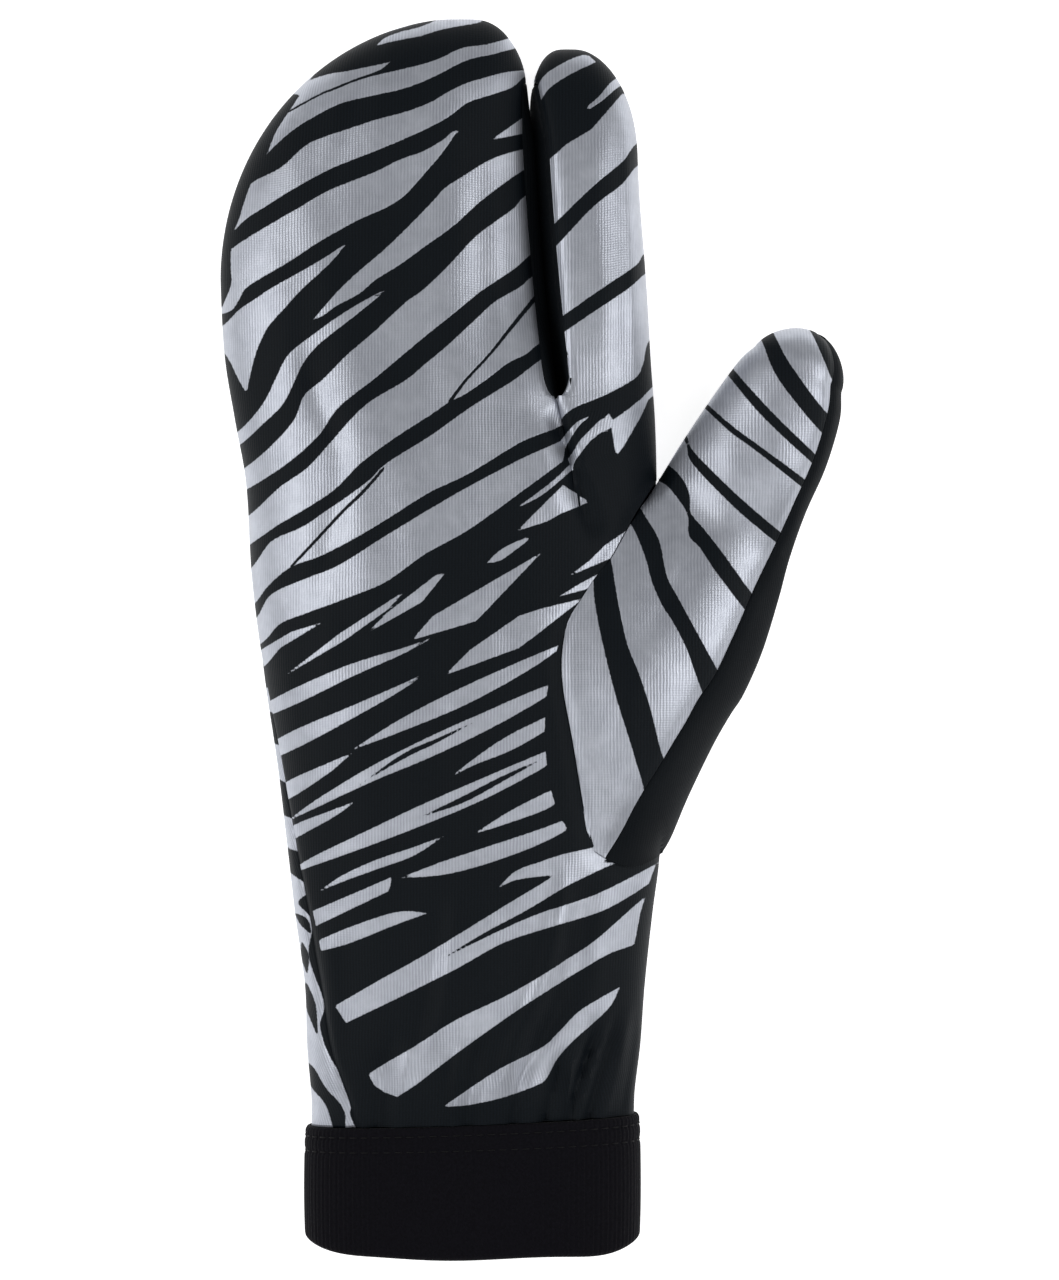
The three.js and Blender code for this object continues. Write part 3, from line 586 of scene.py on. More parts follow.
# Print of the index finger
INDEX_PRINT = [
    wedge(DARK, (535, 20), (680, 20), (680, 88), (622, 94), (592, 129), (567, 144), (544, 164), (535, 170)),
    lens(
        SILVER,
        [(534, 116), (540, 82), (558, 66), (584, 55), (596, 62)],
        [(534, 116), (546, 92), (567, 76), (596, 62)],
    ),
    lens(
        DARK,
        [(660, 130), (636, 144), (622, 162), (592, 187), (552, 226), (530, 246)],
        [(660, 150), (636, 167), (622, 184), (592, 208), (557, 245), (530, 268)],
    ),
    lens(
        DARK,
        [(665, 240), (644, 254), (635, 266), (598, 291), (561, 317), (540, 330)],
        [(665, 262), (645, 274), (629, 288), (598, 309), (561, 334), (540, 347)],
    ),
    lens(
        DARK,
        [(670, 330), (649, 341), (643, 364), (634, 379), (603, 396), (572, 409), (557, 425), (551, 436)],
        [(680, 374), (659, 386), (640, 402), (617, 418), (603, 424), (577, 434), (562, 443), (551, 446)],
    ),
]

# Print of the lower hand: black, with silver shapes
LOWER_GROUND = [
    lens(
        DARK,
        [(640, 400), (612, 428), (590, 440), (567, 458), (521, 492), (468, 530), (425, 554), (387, 581),
         (350, 597), (307, 613), (280, 624), (263, 642), (225, 668)],
        [(760, 400), (760, 1180), (225, 1180)],
    ),
    wedge(DARK, (609, 409), (632, 412), (646, 402), (664, 386), (720, 386), (720, 560), (560, 520),
          (563, 460), (565, 449), (567, 440), (580, 424), (590, 414)),
]
LOWER_PRINT = [
    wedge(SILVER, (680, 360), (659, 380), (641, 399), (630, 408), (613, 420), (611, 426), (616, 456),
          (624, 446), (632, 432), (641, 416), (650, 396), (664, 382), (680, 372)),
    wedge(SILVER, (563, 485), (589, 502), (575, 508), (560, 514), (548, 521), (517, 531)),
    wedge(SILVER, (568, 459), (573, 452), (580, 440), (590, 430), (600, 420), (609, 413), (612, 420),
          (611, 427), (600, 433), (590, 441), (583, 450), (576, 459), (573, 465), (573, 470), (568, 472),
          (570, 464)),
    # between the fingers and the palm
    wedge(SILVER, (541, 553), (433, 616), (412, 640), (476, 621)),
    wedge(SILVER, (445, 573), (436, 575), (387, 613), (367, 633), (422, 602)),
    wedge(SILVER, (406, 590), (339, 634), (283, 677), (345, 640), (387, 610)),
    wedge(SILVER, (323, 622), (291, 632), (264, 648), (235, 668), (235, 690), (267, 664), (280, 648)),
    wedge(SILVER, (569, 576), (589, 561), (604, 546), (630, 528), (630, 550), (612, 558)),
    wedge(SILVER, (584, 598), (540, 609), (519, 616), (470, 650), (445, 675), (519, 648), (540, 632)),
    # plain zebra streaks over the lower palm
    streak(SILVER, (262, 712, 12), (300, 694, 15), (352, 670, 12), (405, 650, 5), (432, 638, 0)),
    streak(SILVER, (572, 640, 0), (528, 664, 11), (464, 696, 17), (404, 724, 12), (352, 750, 0)),
    streak(SILVER, (258, 758, 14), (300, 737, 17), (348, 714, 12), (396, 690, 6), (428, 672, 0)),
    streak(SILVER, (576, 676, 0), (540, 694, 11), (490, 719, 17), (430, 747, 19), (372, 774, 14),
           (318, 803, 7), (286, 822, 0)),
    streak(DARK, (474, 722, 0), (438, 740, 4), (404, 756, 5), (360, 784, 0)),
    streak(SILVER, (262, 806, 12), (292, 788, 16), (328, 768, 9), (352, 753, 0)),
    streak(SILVER, (578, 706, 5), (545, 724, 12), (508, 744, 14), (476, 761, 6), (452, 776, 0)),
    streak(SILVER, (578, 742, 7), (535, 764, 15), (478, 791, 20), (420, 816, 19), (362, 841, 14),
           (312, 862, 8), (284, 876, 0)),
    streak(DARK, (544, 758, 0), (504, 778, 5), (462, 800, 6), (418, 818, 0)),
    streak(SILVER, (268, 848, 10), (298, 830, 12), (332, 814, 7), (356, 801, 0)),
    streak(SILVER, (578, 784, 8), (546, 801, 15), (508, 818, 10), (474, 834, 0)),
    streak(SILVER, (586, 814, 6), (546, 834, 13), (494, 853, 16), (444, 868, 13), (400, 878, 0)),
    streak(SILVER, (444, 836, 0), (412, 852, 8), (378, 864, 9), (344, 878, 6), (318, 892, 0)),
    # plain black beside the thumb
    lens(
        DARK,
        [(561, 636), (552, 668), (546, 700), (545, 740), (549, 780), (558, 812), (574, 838), (590, 849)],
        [(612, 636), (612, 849)],
    ),
    # wrist
    lens(SILVER, [(640, 836), (591, 848), (564, 854), (540, 862), (516, 871), (498, 888)],
         [(640, 870), (617, 862), (590, 872), (545, 876), (516, 880), (498, 888)]),
    # A dark sliver along the thumb's base seam: painted shadow of its crease
    wedge(DARK, (650, 862), (616, 864), (601, 862), (610, 858), (650, 852)),
    wedge(SILVER, (392, 877), (313, 911), (316, 926), (389, 891)),
    lens(SILVER, [(428, 913), (397, 912), (353, 926), (319, 940)],
         [(428, 913), (395, 925), (350, 943), (321, 951)]),
    lens(
        SILVER,
        [(672, 848), (616, 862), (575, 864), (541, 884), (498, 910), (428, 953), (378, 981), (335, 1006)],
        [(680, 860), (651, 882), (625, 899), (597, 913), (541, 930), (501, 944), (456, 969), (400, 997),
         (346, 1023)],
    ),
    lens(
        DARK,
        [(680, 838), (616, 863), (569, 885), (527, 910), (484, 933), (440, 960)],
        [(680, 850), (656, 864), (597, 894), (541, 913), (501, 930), (440, 960)],
    ),
    lens(
        SILVER,
        [(664, 884), (646, 896), (597, 939), (569, 958), (541, 976), (504, 997), (456, 1020), (417, 1045),
         (386, 1063), (369, 1074)],
        [(664, 932), (636, 944), (611, 953), (591, 964), (555, 986), (512, 1014), (456, 1054),
         (417, 1084), (397, 1097)],
    ),
    wedge(SILVER, (386, 1063), (369, 1075), (374, 1085), (384, 1092), (397, 1097), (417, 1084)),
    lens(
        SILVER,
        [(620, 987), (597, 1000), (577, 1013), (557, 1034), (541, 1048), (498, 1070), (456, 1098),
         (443, 1107)],
        [(620, 987), (608, 1009), (574, 1040), (557, 1059), (546, 1079), (535, 1086), (501, 1098),
         (468, 1105), (443, 1107)],
    ),
    wedge(DARK, (656, 864), (650, 880), (646, 895), (641, 910), (634, 945), (622, 985), (700, 985),
          (700, 862)),
]

# Thin shapes over all of these
HAND_BLADES = [
    blade(DARK, (556, 272, 3), (536, 297, 4.5), (514, 324, 4), (490, 354, 3), (466, 380, 3), (449, 403, 4)),
    blade(DARK, (384, 468, 3), (362, 493, 3.4), (345, 509, 3), (318, 538, 3), (291, 567, 2.5)),
    blade(DARK, (288, 112, 2), (319, 95, 2), (336, 88, 2.5), (353, 81, 2.5), (376, 73, 3), (399, 64, 3)),
    blade(SILVER, (588, 108, 3), (600, 99, 5), (613, 86, 8), (622, 80, 9)),
    # the print displaced by the pinch below the slot
    blade(SILVER, (562, 446, 8), (569, 435, 6), (578, 424, 4), (588, 417, 1)),
    blade(SILVER, (571, 467, 5), (556, 481, 4.5), (538, 495, 4), (520, 506, 1)),
    blade(SILVER, (527, 539, 3), (510, 549, 8), (498, 557, 8), (487, 563, 0)),
    blade(SILVER, (560, 596, 0), (574, 590, 5), (586, 585, 8), (600, 578, 9)),
]

# The back panel's print where it comes round to the palm side at the wrist
WRIST_PRINT = [
    lens(
        SILVER,
        [(285, 885), (295, 901), (312, 919), (312, 931), (309, 958), (324, 1003), (320, 1026),
         (329, 1055), (345, 1080), (353, 1099), (350, 1114), (358, 1132)],
        [(230, 885), (230, 1132)],
    ),
    lens(
        DARK,
        [(300, 1056), (314, 1068), (326, 1088), (343, 1108), (346, 1132)],
        [(300, 1070), (312, 1088), (326, 1106), (334, 1132)],
    ),
]
WRIST_BLADES = [
    blade(DARK, (296, 914, 2), (304, 922, 9), (310, 932, 3)),
    blade(DARK, (302, 943, 2), (305, 956, 8), (307, 972, 2)),
    blade(DARK, (306, 984, 3), (311, 1006, 10), (317, 1033, 2)),
]

# Print of the thumb, on silver
THUMB_PRINT = [
    lens(DARK, [(797, 318), (812, 334), (832, 380), (842, 402)], [(860, 318), (870, 360), (870, 402)]),
    lens(DARK, [(768, 322), (775, 336), (791, 365), (825, 411), (850, 430)],
         [(756, 328), (763, 344), (779, 380), (821, 432), (850, 456)]),
    lens(DARK, [(722, 352), (735, 371), (772, 412), (814, 453), (836, 474)],
         [(717, 358), (730, 378), (766, 420), (812, 463), (836, 486)]),
    lens(DARK, [(676, 416), (687, 436), (695, 453), (736, 494), (779, 531), (800, 548)],
         [(674, 424), (686, 444), (692, 463), (733, 506), (774, 541), (800, 560)]),
    lens(DARK, [(650, 450), (664, 462), (677, 472), (687, 487), (690, 500), (691, 513), (705, 530),
                (722, 552), (753, 595), (774, 620)],
         [(640, 470), (655, 480), (667, 486), (681, 503), (688, 517), (689, 536), (700, 548), (716, 572),
          (745, 610), (768, 640)]),
    lens(DARK, [(628, 486), (644, 514), (659, 540), (667, 576), (679, 599), (700, 638), (717, 669),
                (736, 700)],
         [(618, 504), (635, 532), (646, 560), (652, 582), (662, 605), (674, 624), (687, 650), (702, 692),
          (716, 724)]),
    lens(DARK, [(600, 530), (611, 560), (616, 590), (622, 621), (628, 646), (640, 676), (650, 707),
                (656, 731), (663, 757), (680, 800)],
         [(580, 540), (592, 572), (594, 597), (599, 627), (606, 658), (616, 697), (626, 729), (636, 762),
          (643, 786), (652, 830)]),
]
THUMB_BLADES = [
    blade(DARK, (696, 396, 4), (709, 409, 5), (734, 431, 6), (760, 450, 6), (803, 483, 8), (828, 503, 8)),
]


def smoothstep(value, low, high):
    t = np.clip((value - low) / (high - low), 0, 1)
    return t * t * (3 - 2 * t)


def lerp(a, b, t):
    return a + (b - a) * t


def signed_power(value, exponent):
    return np.sign(value) * np.abs(value) ** exponent


def dome(u, exponent=SQUARE):
    """Height of a rounded shape over its width, from 1 in the middle to 0 at its edge."""
    return np.maximum(0, 1 - np.abs(u) ** exponent) ** (1 / exponent)


def table_value(rows, key, column, at):
    """Smooth value of one column of a table between its rows."""
    keys, values = rows[key], rows[column]
    n = np.clip(np.searchsorted(keys, at, side="right") - 1, 0, len(keys) - 2)
    before, after = np.maximum(n - 1, 0), np.minimum(n + 2, len(keys) - 1)
    span = keys[n + 1] - keys[n]
    t = np.clip((at - keys[n]) / span, 0, 1)
    slope_from = (values[n + 1] - values[before]) / (keys[n + 1] - keys[before]) * span
    slope_to = (values[after] - values[n]) / (keys[after] - keys[n]) * span
    rise = values[n + 1] - values[n]
    bend = (1 - t) * (slope_from - rise) - t * (slope_to - rise)
    return values[n] + t * rise + t * (1 - t) * bend


def along_line(points, line):
    """Distance in plan from points to a polyline, and how far along it its nearest place is, 0 to 1."""
    best = np.full(len(points), np.inf)
    share = np.zeros(len(points))
    lengths = np.linalg.norm(np.diff(line, axis=0), axis=1)
    passed = np.concatenate([[0], np.cumsum(lengths)])
    for a, b, length, before in zip(line, line[1:], lengths, passed):
        step = b - a
        t = np.clip((points - a) @ step / max(length**2, TINY), 0, 1)
        away = np.hypot(*(points - a - t[:, None] * step).T)
        closer = away < best
        best[closer] = away[closer]
        share[closer] = (before + t[closer] * length) / passed[-1]
    return best, share


def fold_rise(folds, x, y):
    """Rise of the cloth over the smooth form at a place in plan."""
    x, y = np.broadcast_arrays(x, y)
    places = np.stack([x.ravel(), y.ravel()], axis=1).astype(float)
    rise = np.zeros(len(places))
    for depth, width, line in folds:
        reach = FOLD_REACH * width
        near = (places > line.min(axis=0) - reach) & (places < line.max(axis=0) + reach)
        near = near.all(axis=1)
        away, share = along_line(places[near], line)
        fade = smoothstep(np.minimum(share, 1 - share), 0, FOLD_FADE)
        rise[near] -= depth * fade * np.exp(-((away / width) ** 2))
    return rise.reshape(x.shape)


def ripples(x, y):
    """Faint unevenness of cloth that is filled out, longer along the hand than across it."""
    wave = 0
    for share, per_x, per_y, start, sway, sway_per_y, sway_start in zip(*RIPPLES.values()):
        bend = sway * np.sin(sway_per_y * y + sway_start)
        wave = wave + share * np.sin(per_x * x + per_y * y + start + bend)
    return RIPPLE_HEIGHT * wave


def lobe_edges(side, y):
    """Left and right edge of one finger compartment, which below the crotch is its share of the hand."""
    end = FINGER_END[side]
    slot = table_value(SLOT, "y", "x", y) - end["x"]
    outer = dome(np.maximum(0, y - end["outer_y"]) / end["outer_reach"], 2)
    inner = dome(np.maximum(0, y - end["inner_y"]) / end["inner_reach"], 2)
    if side == "outer":
        left = table_value(HAND, "y", "left", np.minimum(y, end["outer_y"])) - end["x"]
        return end["x"] + left * outer, end["x"] + slot * inner
    right = table_value(HAND, "y", "right", y) - end["x"]
    return end["x"] + slot * inner, end["x"] + right * outer


def slot_shift(side, y, across):
    """How far a point of a compartment gives way to the air in the slot."""
    air = SLOT_HALF * np.sqrt(np.clip((y - CROTCH_Y) / SLOT_ROUND, 0, 1))
    air = air * smoothstep(FINGER_END[side]["tip"] - y, 0, AIR_FADE)
    near = across if side == "outer" else 1 - across
    return (-air if side == "outer" else air) * near ** SLOT_EDGE[side]


def tip_share(side, y):
    return dome(np.maximum(0, y - FINGER_END[side]["tip"] + TIP_DOME) / TIP_DOME)


def webbing(y):
    """How far the two compartments are joined into one body: 0 apart, 1 one body."""
    above = WEB_SHARE * (1 - smoothstep(y, CROTCH_Y, CROTCH_Y + WEB_ABOVE))
    below = WEB_SHARE + (1 - WEB_SHARE) * (1 - smoothstep(y, CROTCH_Y - WEB_BELOW, CROTCH_Y))
    return np.where(y > CROTCH_Y, above, below)


def body_share(x, y):
    left = table_value(HAND, "y", "left", y)
    right = table_value(HAND, "y", "right", y)
    return dome((2 * x - left - right) / (right - left))


def palm_rise(side, y):
    apart = smoothstep(y, CROTCH_Y, CROTCH_Y + WEB_ABOVE)
    height = 1 if side == "outer" else lerp(1, INDEX_HEIGHT, apart)
    return (table_value(HAND, "y", "top", y) - SEAM_Z) * height


def hem_lift(x, y):
    """The lowest rows follow the cuff's seam, which climbs towards the thumb."""
    across = np.clip((x - CUFF_LEFT) / (CUFF_RIGHT - CUFF_LEFT), 0, 1)
    return HEM_LIFT * across * (1 - smoothstep(np.abs(y - CUFF_TOP_Y), 0, HEM_FADE))


def squareness(side, angle):
    """The index finger's section is squarer towards the slot."""
    return np.where((side == "index") & (np.cos(angle) < 0), INDEX_SQUARE, SQUARE)


def hand_point(side, y, angle):
    """The hand's outer surface. angle is 0 at the right edge and a quarter turn on the palm side."""
    left, right = lobe_edges(side, y)
    power = 2 / squareness(side, angle)
    across = (1 + signed_power(np.cos(angle), power)) / 2
    x = lerp(left, right, across) + slot_shift(side, y, across)
    own = np.abs(np.sin(angle)) ** power
    share = lerp(own, body_share(x, y), webbing(y)) * tip_share(side, y)
    proud = CUFF_PROUD * (1 - smoothstep(y, CUFF_TOP_Y, CUFF_TOP_Y + HEM_FADE / 2))
    rise = palm_rise(side, y) + fold_rise(HAND_FOLDS, x, y) + ripples(x, y)
    above = SEAM_Z + share * rise
    below = np.maximum(proud, SEAM_Z - share * (SEAM_Z + FLATTEN))
    z = np.where(np.sin(angle) >= 0, above, below)
    return np.stack(np.broadcast_arrays(x, y + hem_lift(x, y), z), axis=-1)


def palm_height(x, y):
    """Height of the palm side at a place in plan on the index finger's side."""
    left, right = lobe_edges("index", y)
    u = np.clip((2 * x - left - right) / (right - left), -1, 1)
    share = lerp(dome(u), body_share(x, y), webbing(y))
    return SEAM_Z + share * (palm_rise("index", y) + fold_rise(HAND_FOLDS, x, y) + ripples(x, y))


def seam_angle(side, y, inset):
    left, right = lobe_edges(side, y)
    half = (right - left) / 2
    power = (INDEX_SQUARE if side == "index" else SQUARE) / 2
    return np.arccos(np.clip((half - inset) / half, 0, 1) ** power)


def slot_angle(side, y, below=False):
    on_palm = OUTER_INSET if side == "outer" else INDEX_INSET
    full = BACK_INSET if below else on_palm
    start = np.sqrt(np.clip((y - CROTCH_Y) / INSET_ROUND, 0, 1))
    end = np.sqrt(np.clip((FOURCHETTE_TOP - y) / FOURCHETTE_TAPER, 0, 1))
    return seam_angle(side, y, full * start * end)


def drift_angle(y):
    return np.pi - seam_angle("outer", y, table_value(SEAM_DRIFT, "y", "inset", y))


class Patch:
    """Part of a surface: points, triangles, the fewer triangles of its hidden inner side, for each
    point the corner of these that stands for it, its place in the flat cloth, and its distance from
    the nearest seam."""

    def __init__(self, points, triangles, inner, parent, cloth, seam):
        self.points, self.triangles = points, triangles
        self.inner, self.parent = inner, parent
        self.cloth, self.seam = cloth, seam


def arc_across(points):
    steps = np.linalg.norm(np.diff(points, axis=1), axis=2)
    return np.concatenate([np.zeros((len(points), 1)), np.cumsum(steps, axis=1)], axis=1)


def flat_place(points):
    """Place across the hand of each point of a grid once its cloth is laid flat from its middle."""
    across = arc_across(points)
    middle = points.shape[1] // 2
    return across - across[:, [middle]] + points[:, [middle], 0]


def grid_triangles(index):
    a, b, c, d = index[:-1, :-1], index[:-1, 1:], index[1:, 1:], index[1:, :-1]
    return np.stack([np.stack([a, b, c], -1), np.stack([a, c, d], -1)], 2).reshape(-1, 3)


def wrapped(index):
    """A grid closed on itself across its columns."""
    return np.pad(index, ((0, 0), (0, 1)), mode="wrap")


def fan(ring, hub):
    """Triangles from the edges of a closed ring to one point."""
    return np.stack([ring, np.roll(ring, -1), np.full(len(ring), hub)], axis=1)


def grid_patch(points, left=0.0, right=0.0, shift=0.0):
    """A grid of points, whose rows run towards the fingertips and columns clockwise seen from the
    cuff. left and right tell how much further off a seam is than the grid's own side."""
    rows, columns = points.shape[:2]
    index = np.arange(rows * columns).reshape(rows, columns)
    parent = index[np.arange(rows) // COARSE * COARSE][:, np.arange(columns) // COARSE * COARSE]
    across = arc_across(points)
    climbs = np.linalg.norm(np.diff(points, axis=0), axis=2)
    along = np.concatenate([np.zeros((1, columns)), np.cumsum(climbs, axis=0)], axis=0)
    cloth = np.stack([flat_place(points) + shift, along + points[0, 0, 1]], axis=-1)
    seam = np.minimum(across + left, across[:, [-1]] - across + right)
    inner = grid_triangles(index[::COARSE, ::COARSE])
    return Patch(points.reshape(-1, 3), grid_triangles(index), inner, parent.ravel(),
                 cloth.reshape(-1, 2), seam.ravel())


def same_place(points):
    keys = np.round(points * KEYS_PER_MM).astype(np.int64)
    _, first, inverse = np.unique(keys, axis=0, return_index=True, return_inverse=True)
    return first, inverse.ravel()


def whole(triangles):
    a, b, c = triangles.T
    return triangles[(a != b) & (b != c) & (a != c)]


def join_patches(*patches):
    """One patch of several, with the points that they share joined."""
    points = np.concatenate([patch.points for patch in patches])
    starts = np.cumsum([0] + [len(patch.points) for patch in patches])
    first, inverse = same_place(points)
    triangles = np.concatenate([patch.triangles + start for patch, start in zip(patches, starts)])
    inner = np.concatenate([patch.inner + start for patch, start in zip(patches, starts)])
    parent = np.concatenate([patch.parent + start for patch, start in zip(patches, starts)])
    cloth = np.concatenate([patch.cloth for patch in patches])[first]
    seam = np.concatenate([patch.seam for patch in patches])[first]
    return Patch(points[first], whole(inverse[triangles]), whole(inverse[inner]),
                 inverse[parent][first], cloth, seam)


def shared_normals(*patches):
    """Directions out of the cloth at the points of patches that meet along seams."""
    points = np.concatenate([patch.points for patch in patches])
    starts = np.cumsum([0] + [len(patch.points) for patch in patches])
    triangles = np.concatenate([patch.triangles + start for patch, start in zip(patches, starts)])
    first, inverse = same_place(points)
    p, q, r = points[triangles].transpose(1, 0, 2)
    faces = np.cross(q - p, r - p)
    sums = np.zeros((len(first), 3))
    for corner in triangles.T:
        np.add.at(sums, inverse[corner], faces)
    sums /= np.maximum(np.linalg.norm(sums, axis=1, keepdims=True), TINY)
    return np.split(sums[inverse], starts[1:-1])


def dip_seams(patch, normals, depth=SEAM_DIP, width=SEAM_DIP_WIDTH):
    """Draws the cloth in where it is sewn."""
    dip = depth * np.exp(-((patch.seam / width) ** 2))
    patch.points = patch.points - normals * dip[:, None]


def open_edges(patch):
    """The open edges of a patch, each with the direction into the patch at right angles to it."""
    count = len(patch.points)
    start = patch.triangles.ravel()
    end = np.roll(patch.triangles, -1, axis=1).ravel()
    free = ~np.isin(start * count + end, end * count + start)
    p, q, r = patch.points[patch.triangles].transpose(1, 0, 2)
    faces = np.repeat(np.cross(q - p, r - p), 3, axis=0)[free]
    start, end = start[free], end[free]
    inward = np.cross(faces, patch.points[end] - patch.points[start])
    inward /= np.linalg.norm(inward, axis=1, keepdims=True)
    return start, end, inward


def thicken(patch, normals, wall=WALL):
    """A closed sheet inside a patch, drawn back by half a gap along its edges: points, triangles and
    for each point the patch's point that it comes from, counted on past the last for the inner side."""
    start, end, inward = open_edges(patch)
    pull = np.zeros_like(patch.points)
    np.add.at(pull, start, inward)
    np.add.at(pull, end, inward)
    length = np.linalg.norm(pull, axis=1, keepdims=True)
    pull = pull / np.maximum(length, TINY)
    mitre = np.ones(len(pull))
    mitre[start] = np.maximum((pull[start] * inward).sum(axis=1), LEAST_MITRE)
    outer = patch.points + pull * (SEAM_GAP / 2 / mitre)[:, None]
    inner = outer - normals * np.broadcast_to(wall, len(outer))[:, None]
    count = len(outer)
    below, beside = patch.parent[start] + count, patch.parent[end] + count
    rim = np.concatenate([np.stack([end, start, below], axis=1), np.stack([end, below, beside], axis=1)])
    triangles = np.concatenate([patch.triangles, patch.inner[:, ::-1] + count, whole(rim)])
    used, place = np.unique(triangles, return_inverse=True)
    return np.concatenate([outer, inner])[used], place.reshape(-1, 3), used


def folded_wall(patch, normals):
    """The wall is thicker where a fold of the outer side would reach through the coarser inner one."""
    rise = ((patch.points - patch.points[patch.parent]) * normals[patch.parent]).sum(axis=1)
    drop = np.zeros(len(rise))
    np.maximum.at(drop, patch.parent, -rise)
    deepest = drop[patch.inner].max(axis=1)
    for corner in patch.inner.T:
        np.maximum.at(drop, corner, deepest)
    return WALL + np.maximum(drop - FOLD_SLACK, 0)


def even_rows(low, high):
    """Evenly spaced stations, a whole number of coarse steps."""
    return np.linspace(low, high, COARSE * round((high - low) / ROW_STEP / COARSE) + 1)


def hand_rows(side):
    """Stations from the cuff to the tip, closer together at the crotch and in the rounded end."""
    tip = FINGER_END[side]["tip"]
    body = even_rows(CUFF_TOP_Y, CROTCH_Y)
    crotch = CROTCH_Y + np.array(CROTCH_ROWS)
    free = even_rows(CROTCH_Y + SLOT_ROUND, END_Y)
    turn = np.linspace(0, np.pi / 2, END_ROWS + 1)[1:]
    end = END_Y + (tip - END_Y) * np.sin(turn)
    return np.concatenate([body, crotch, free, end])[:, None]


def run_on(fixed, fixed_column, moved, moved_column):
    """How far the flat cloth of one compartment moves to run on from the other's below the crotch."""
    shift = flat_place(fixed)[:, [fixed_column]] - flat_place(moved)[:, [moved_column]]
    crotch = len(even_rows(CUFF_TOP_Y, CROTCH_Y)) - 1
    return shift[np.minimum(np.arange(len(shift)), crotch)]


def beside_slot(side, t):
    """How much a column gives way to the strip in the slot: 1 at the slot, 0 further off."""
    return smoothstep(t, 1 - SLOT_COLUMNS[side], 1)


def palm_patch():
    """The printed front. Only the columns beside the slot give way to the strip in it."""
    t_outer = np.linspace(0, 1, OUTER_COLUMNS + 1)
    t_index = np.linspace(0, 1, INDEX_COLUMNS + 1)
    y = hand_rows("outer")
    outer_angle = lerp(drift_angle(y), 0, t_outer) + slot_angle("outer", y) * beside_slot("outer", t_outer)
    outer = hand_point("outer", y, outer_angle)
    below = np.maximum(0, CROTCH_Y - y)
    y = hand_rows("index")
    index_angle = lerp(np.pi, 0, t_index) - slot_angle("index", y) * beside_slot("index", 1 - t_index)
    index = hand_point("index", y, index_angle)
    shift = run_on(outer, -1, index, 0)
    return join_patches(grid_patch(outer, right=below), grid_patch(index, left=below, shift=shift))


def back_patch():
    t_outer = np.linspace(0, 1, BACK_OUTER_COLUMNS + 1)
    t_index = np.linspace(0, 1, BACK_INDEX_COLUMNS + 1)
    y = hand_rows("outer")
    outer_angle = lerp(-BACK_SIDE, drift_angle(y) - 2 * np.pi, t_outer)
    outer_angle = outer_angle - slot_angle("outer", y, True) * beside_slot("outer", 1 - t_outer)
    outer = hand_point("outer", y, outer_angle)
    below = np.maximum(0, CROTCH_Y - y)
    y = hand_rows("index")
    index_angle = lerp(-BACK_SIDE, BACK_SIDE - np.pi, t_index)
    index_angle = index_angle + slot_angle("index", y, True) * beside_slot("index", t_index)
    index = hand_point("index", y, index_angle)
    shift = run_on(outer, 0, index, -1)
    return join_patches(grid_patch(outer, left=below), grid_patch(index, right=below, shift=shift))


def fourchette_patch():
    """The strip between the printed panels along the slot: down one compartment and up the other."""
    t = np.linspace(0, 1, FOURCHETTE_COLUMNS + 1)
    patches = []
    for side, place in (("outer", 1), ("index", 0)):
        y = hand_rows(side)
        y = y[(y >= CROTCH_Y) & (y < FOURCHETTE_TOP)]
        y = y[: (len(y) - 1) // COARSE * COARSE + 1, None]
        angle = slot_angle(side, y)
        below = slot_angle(side, y, True) + BACK_SIDE
        upper = hand_point(side, y, angle if side == "outer" else np.pi - angle)
        lower = hand_point(side, y, -below if side == "outer" else below - np.pi)
        share = t if side == "outer" else 1 - t
        points = lerp(upper, lower, share[None, :, None])
        edge = lobe_edges(side, y)[place] + slot_shift(side, y, place)
        bulge = (edge - (upper[:, :, 0] + lower[:, :, 0]) / 2) * np.sin(np.pi * share) ** FOURCHETTE_ROUND
        lean = SLOT_LEAN * np.clip((FOURCHETTE_TOP - y) / FOURCHETTE_TAPER, 0, 1)
        points[:, :, 0] += bulge + lean * np.sin(2 * np.pi * share)
        patches.append(grid_patch(points))
    return join_patches(*patches)


def thumb_section(at):
    """One section of the thumb, between rows of its table or in its rounded end."""
    held = min(at, THUMB_LAST)
    section = {column: float(table_value(THUMB, "at", column, held)) for column in THUMB}
    free_from = THUMB_CROTCH_ROW - THUMB_FREE_BEFORE
    section["free"] = float(smoothstep(at, free_from, THUMB_CROTCH_ROW + THUMB_FREE_AFTER))
    section["attached"] = at < THUMB_CROTCH_ROW
    section["on_hand"] = float(1 - smoothstep(at, 0, THUMB_ON_HAND))
    left = np.array([section["left_x"], section["left_y"]])
    right = np.array([section["right_x"], section["right_y"]])
    section["shrink"] = 1.0
    if at > THUMB_LAST:
        turn = (at - THUMB_LAST) * np.pi / 2
        middle = (left + right) / 2
        half = right - middle
        ahead = np.array([-half[1], half[0]]) / np.hypot(*half)
        middle = middle + ahead * THUMB_END_REACH * np.sin(turn)
        width = lerp(THUMB_END_OPEN, 1, float(dome(np.sin(turn), THUMB_END_ROUND)))
        left, right = middle - half * width, middle + half * width
        section["shrink"] = max(0.0, float(np.cos(turn)))
    section["left"], section["right"] = left, right
    return section


def thumb_plan(section, s):
    """Place of the upper side in plan: a row's line, bowed where the seam is round at the base."""
    plan = lerp(section["left"], section["right"], s[:, None])
    plan[:, 1] -= THUMB_BASE_BOW * section["on_hand"] * np.sin(np.pi * s)
    return plan


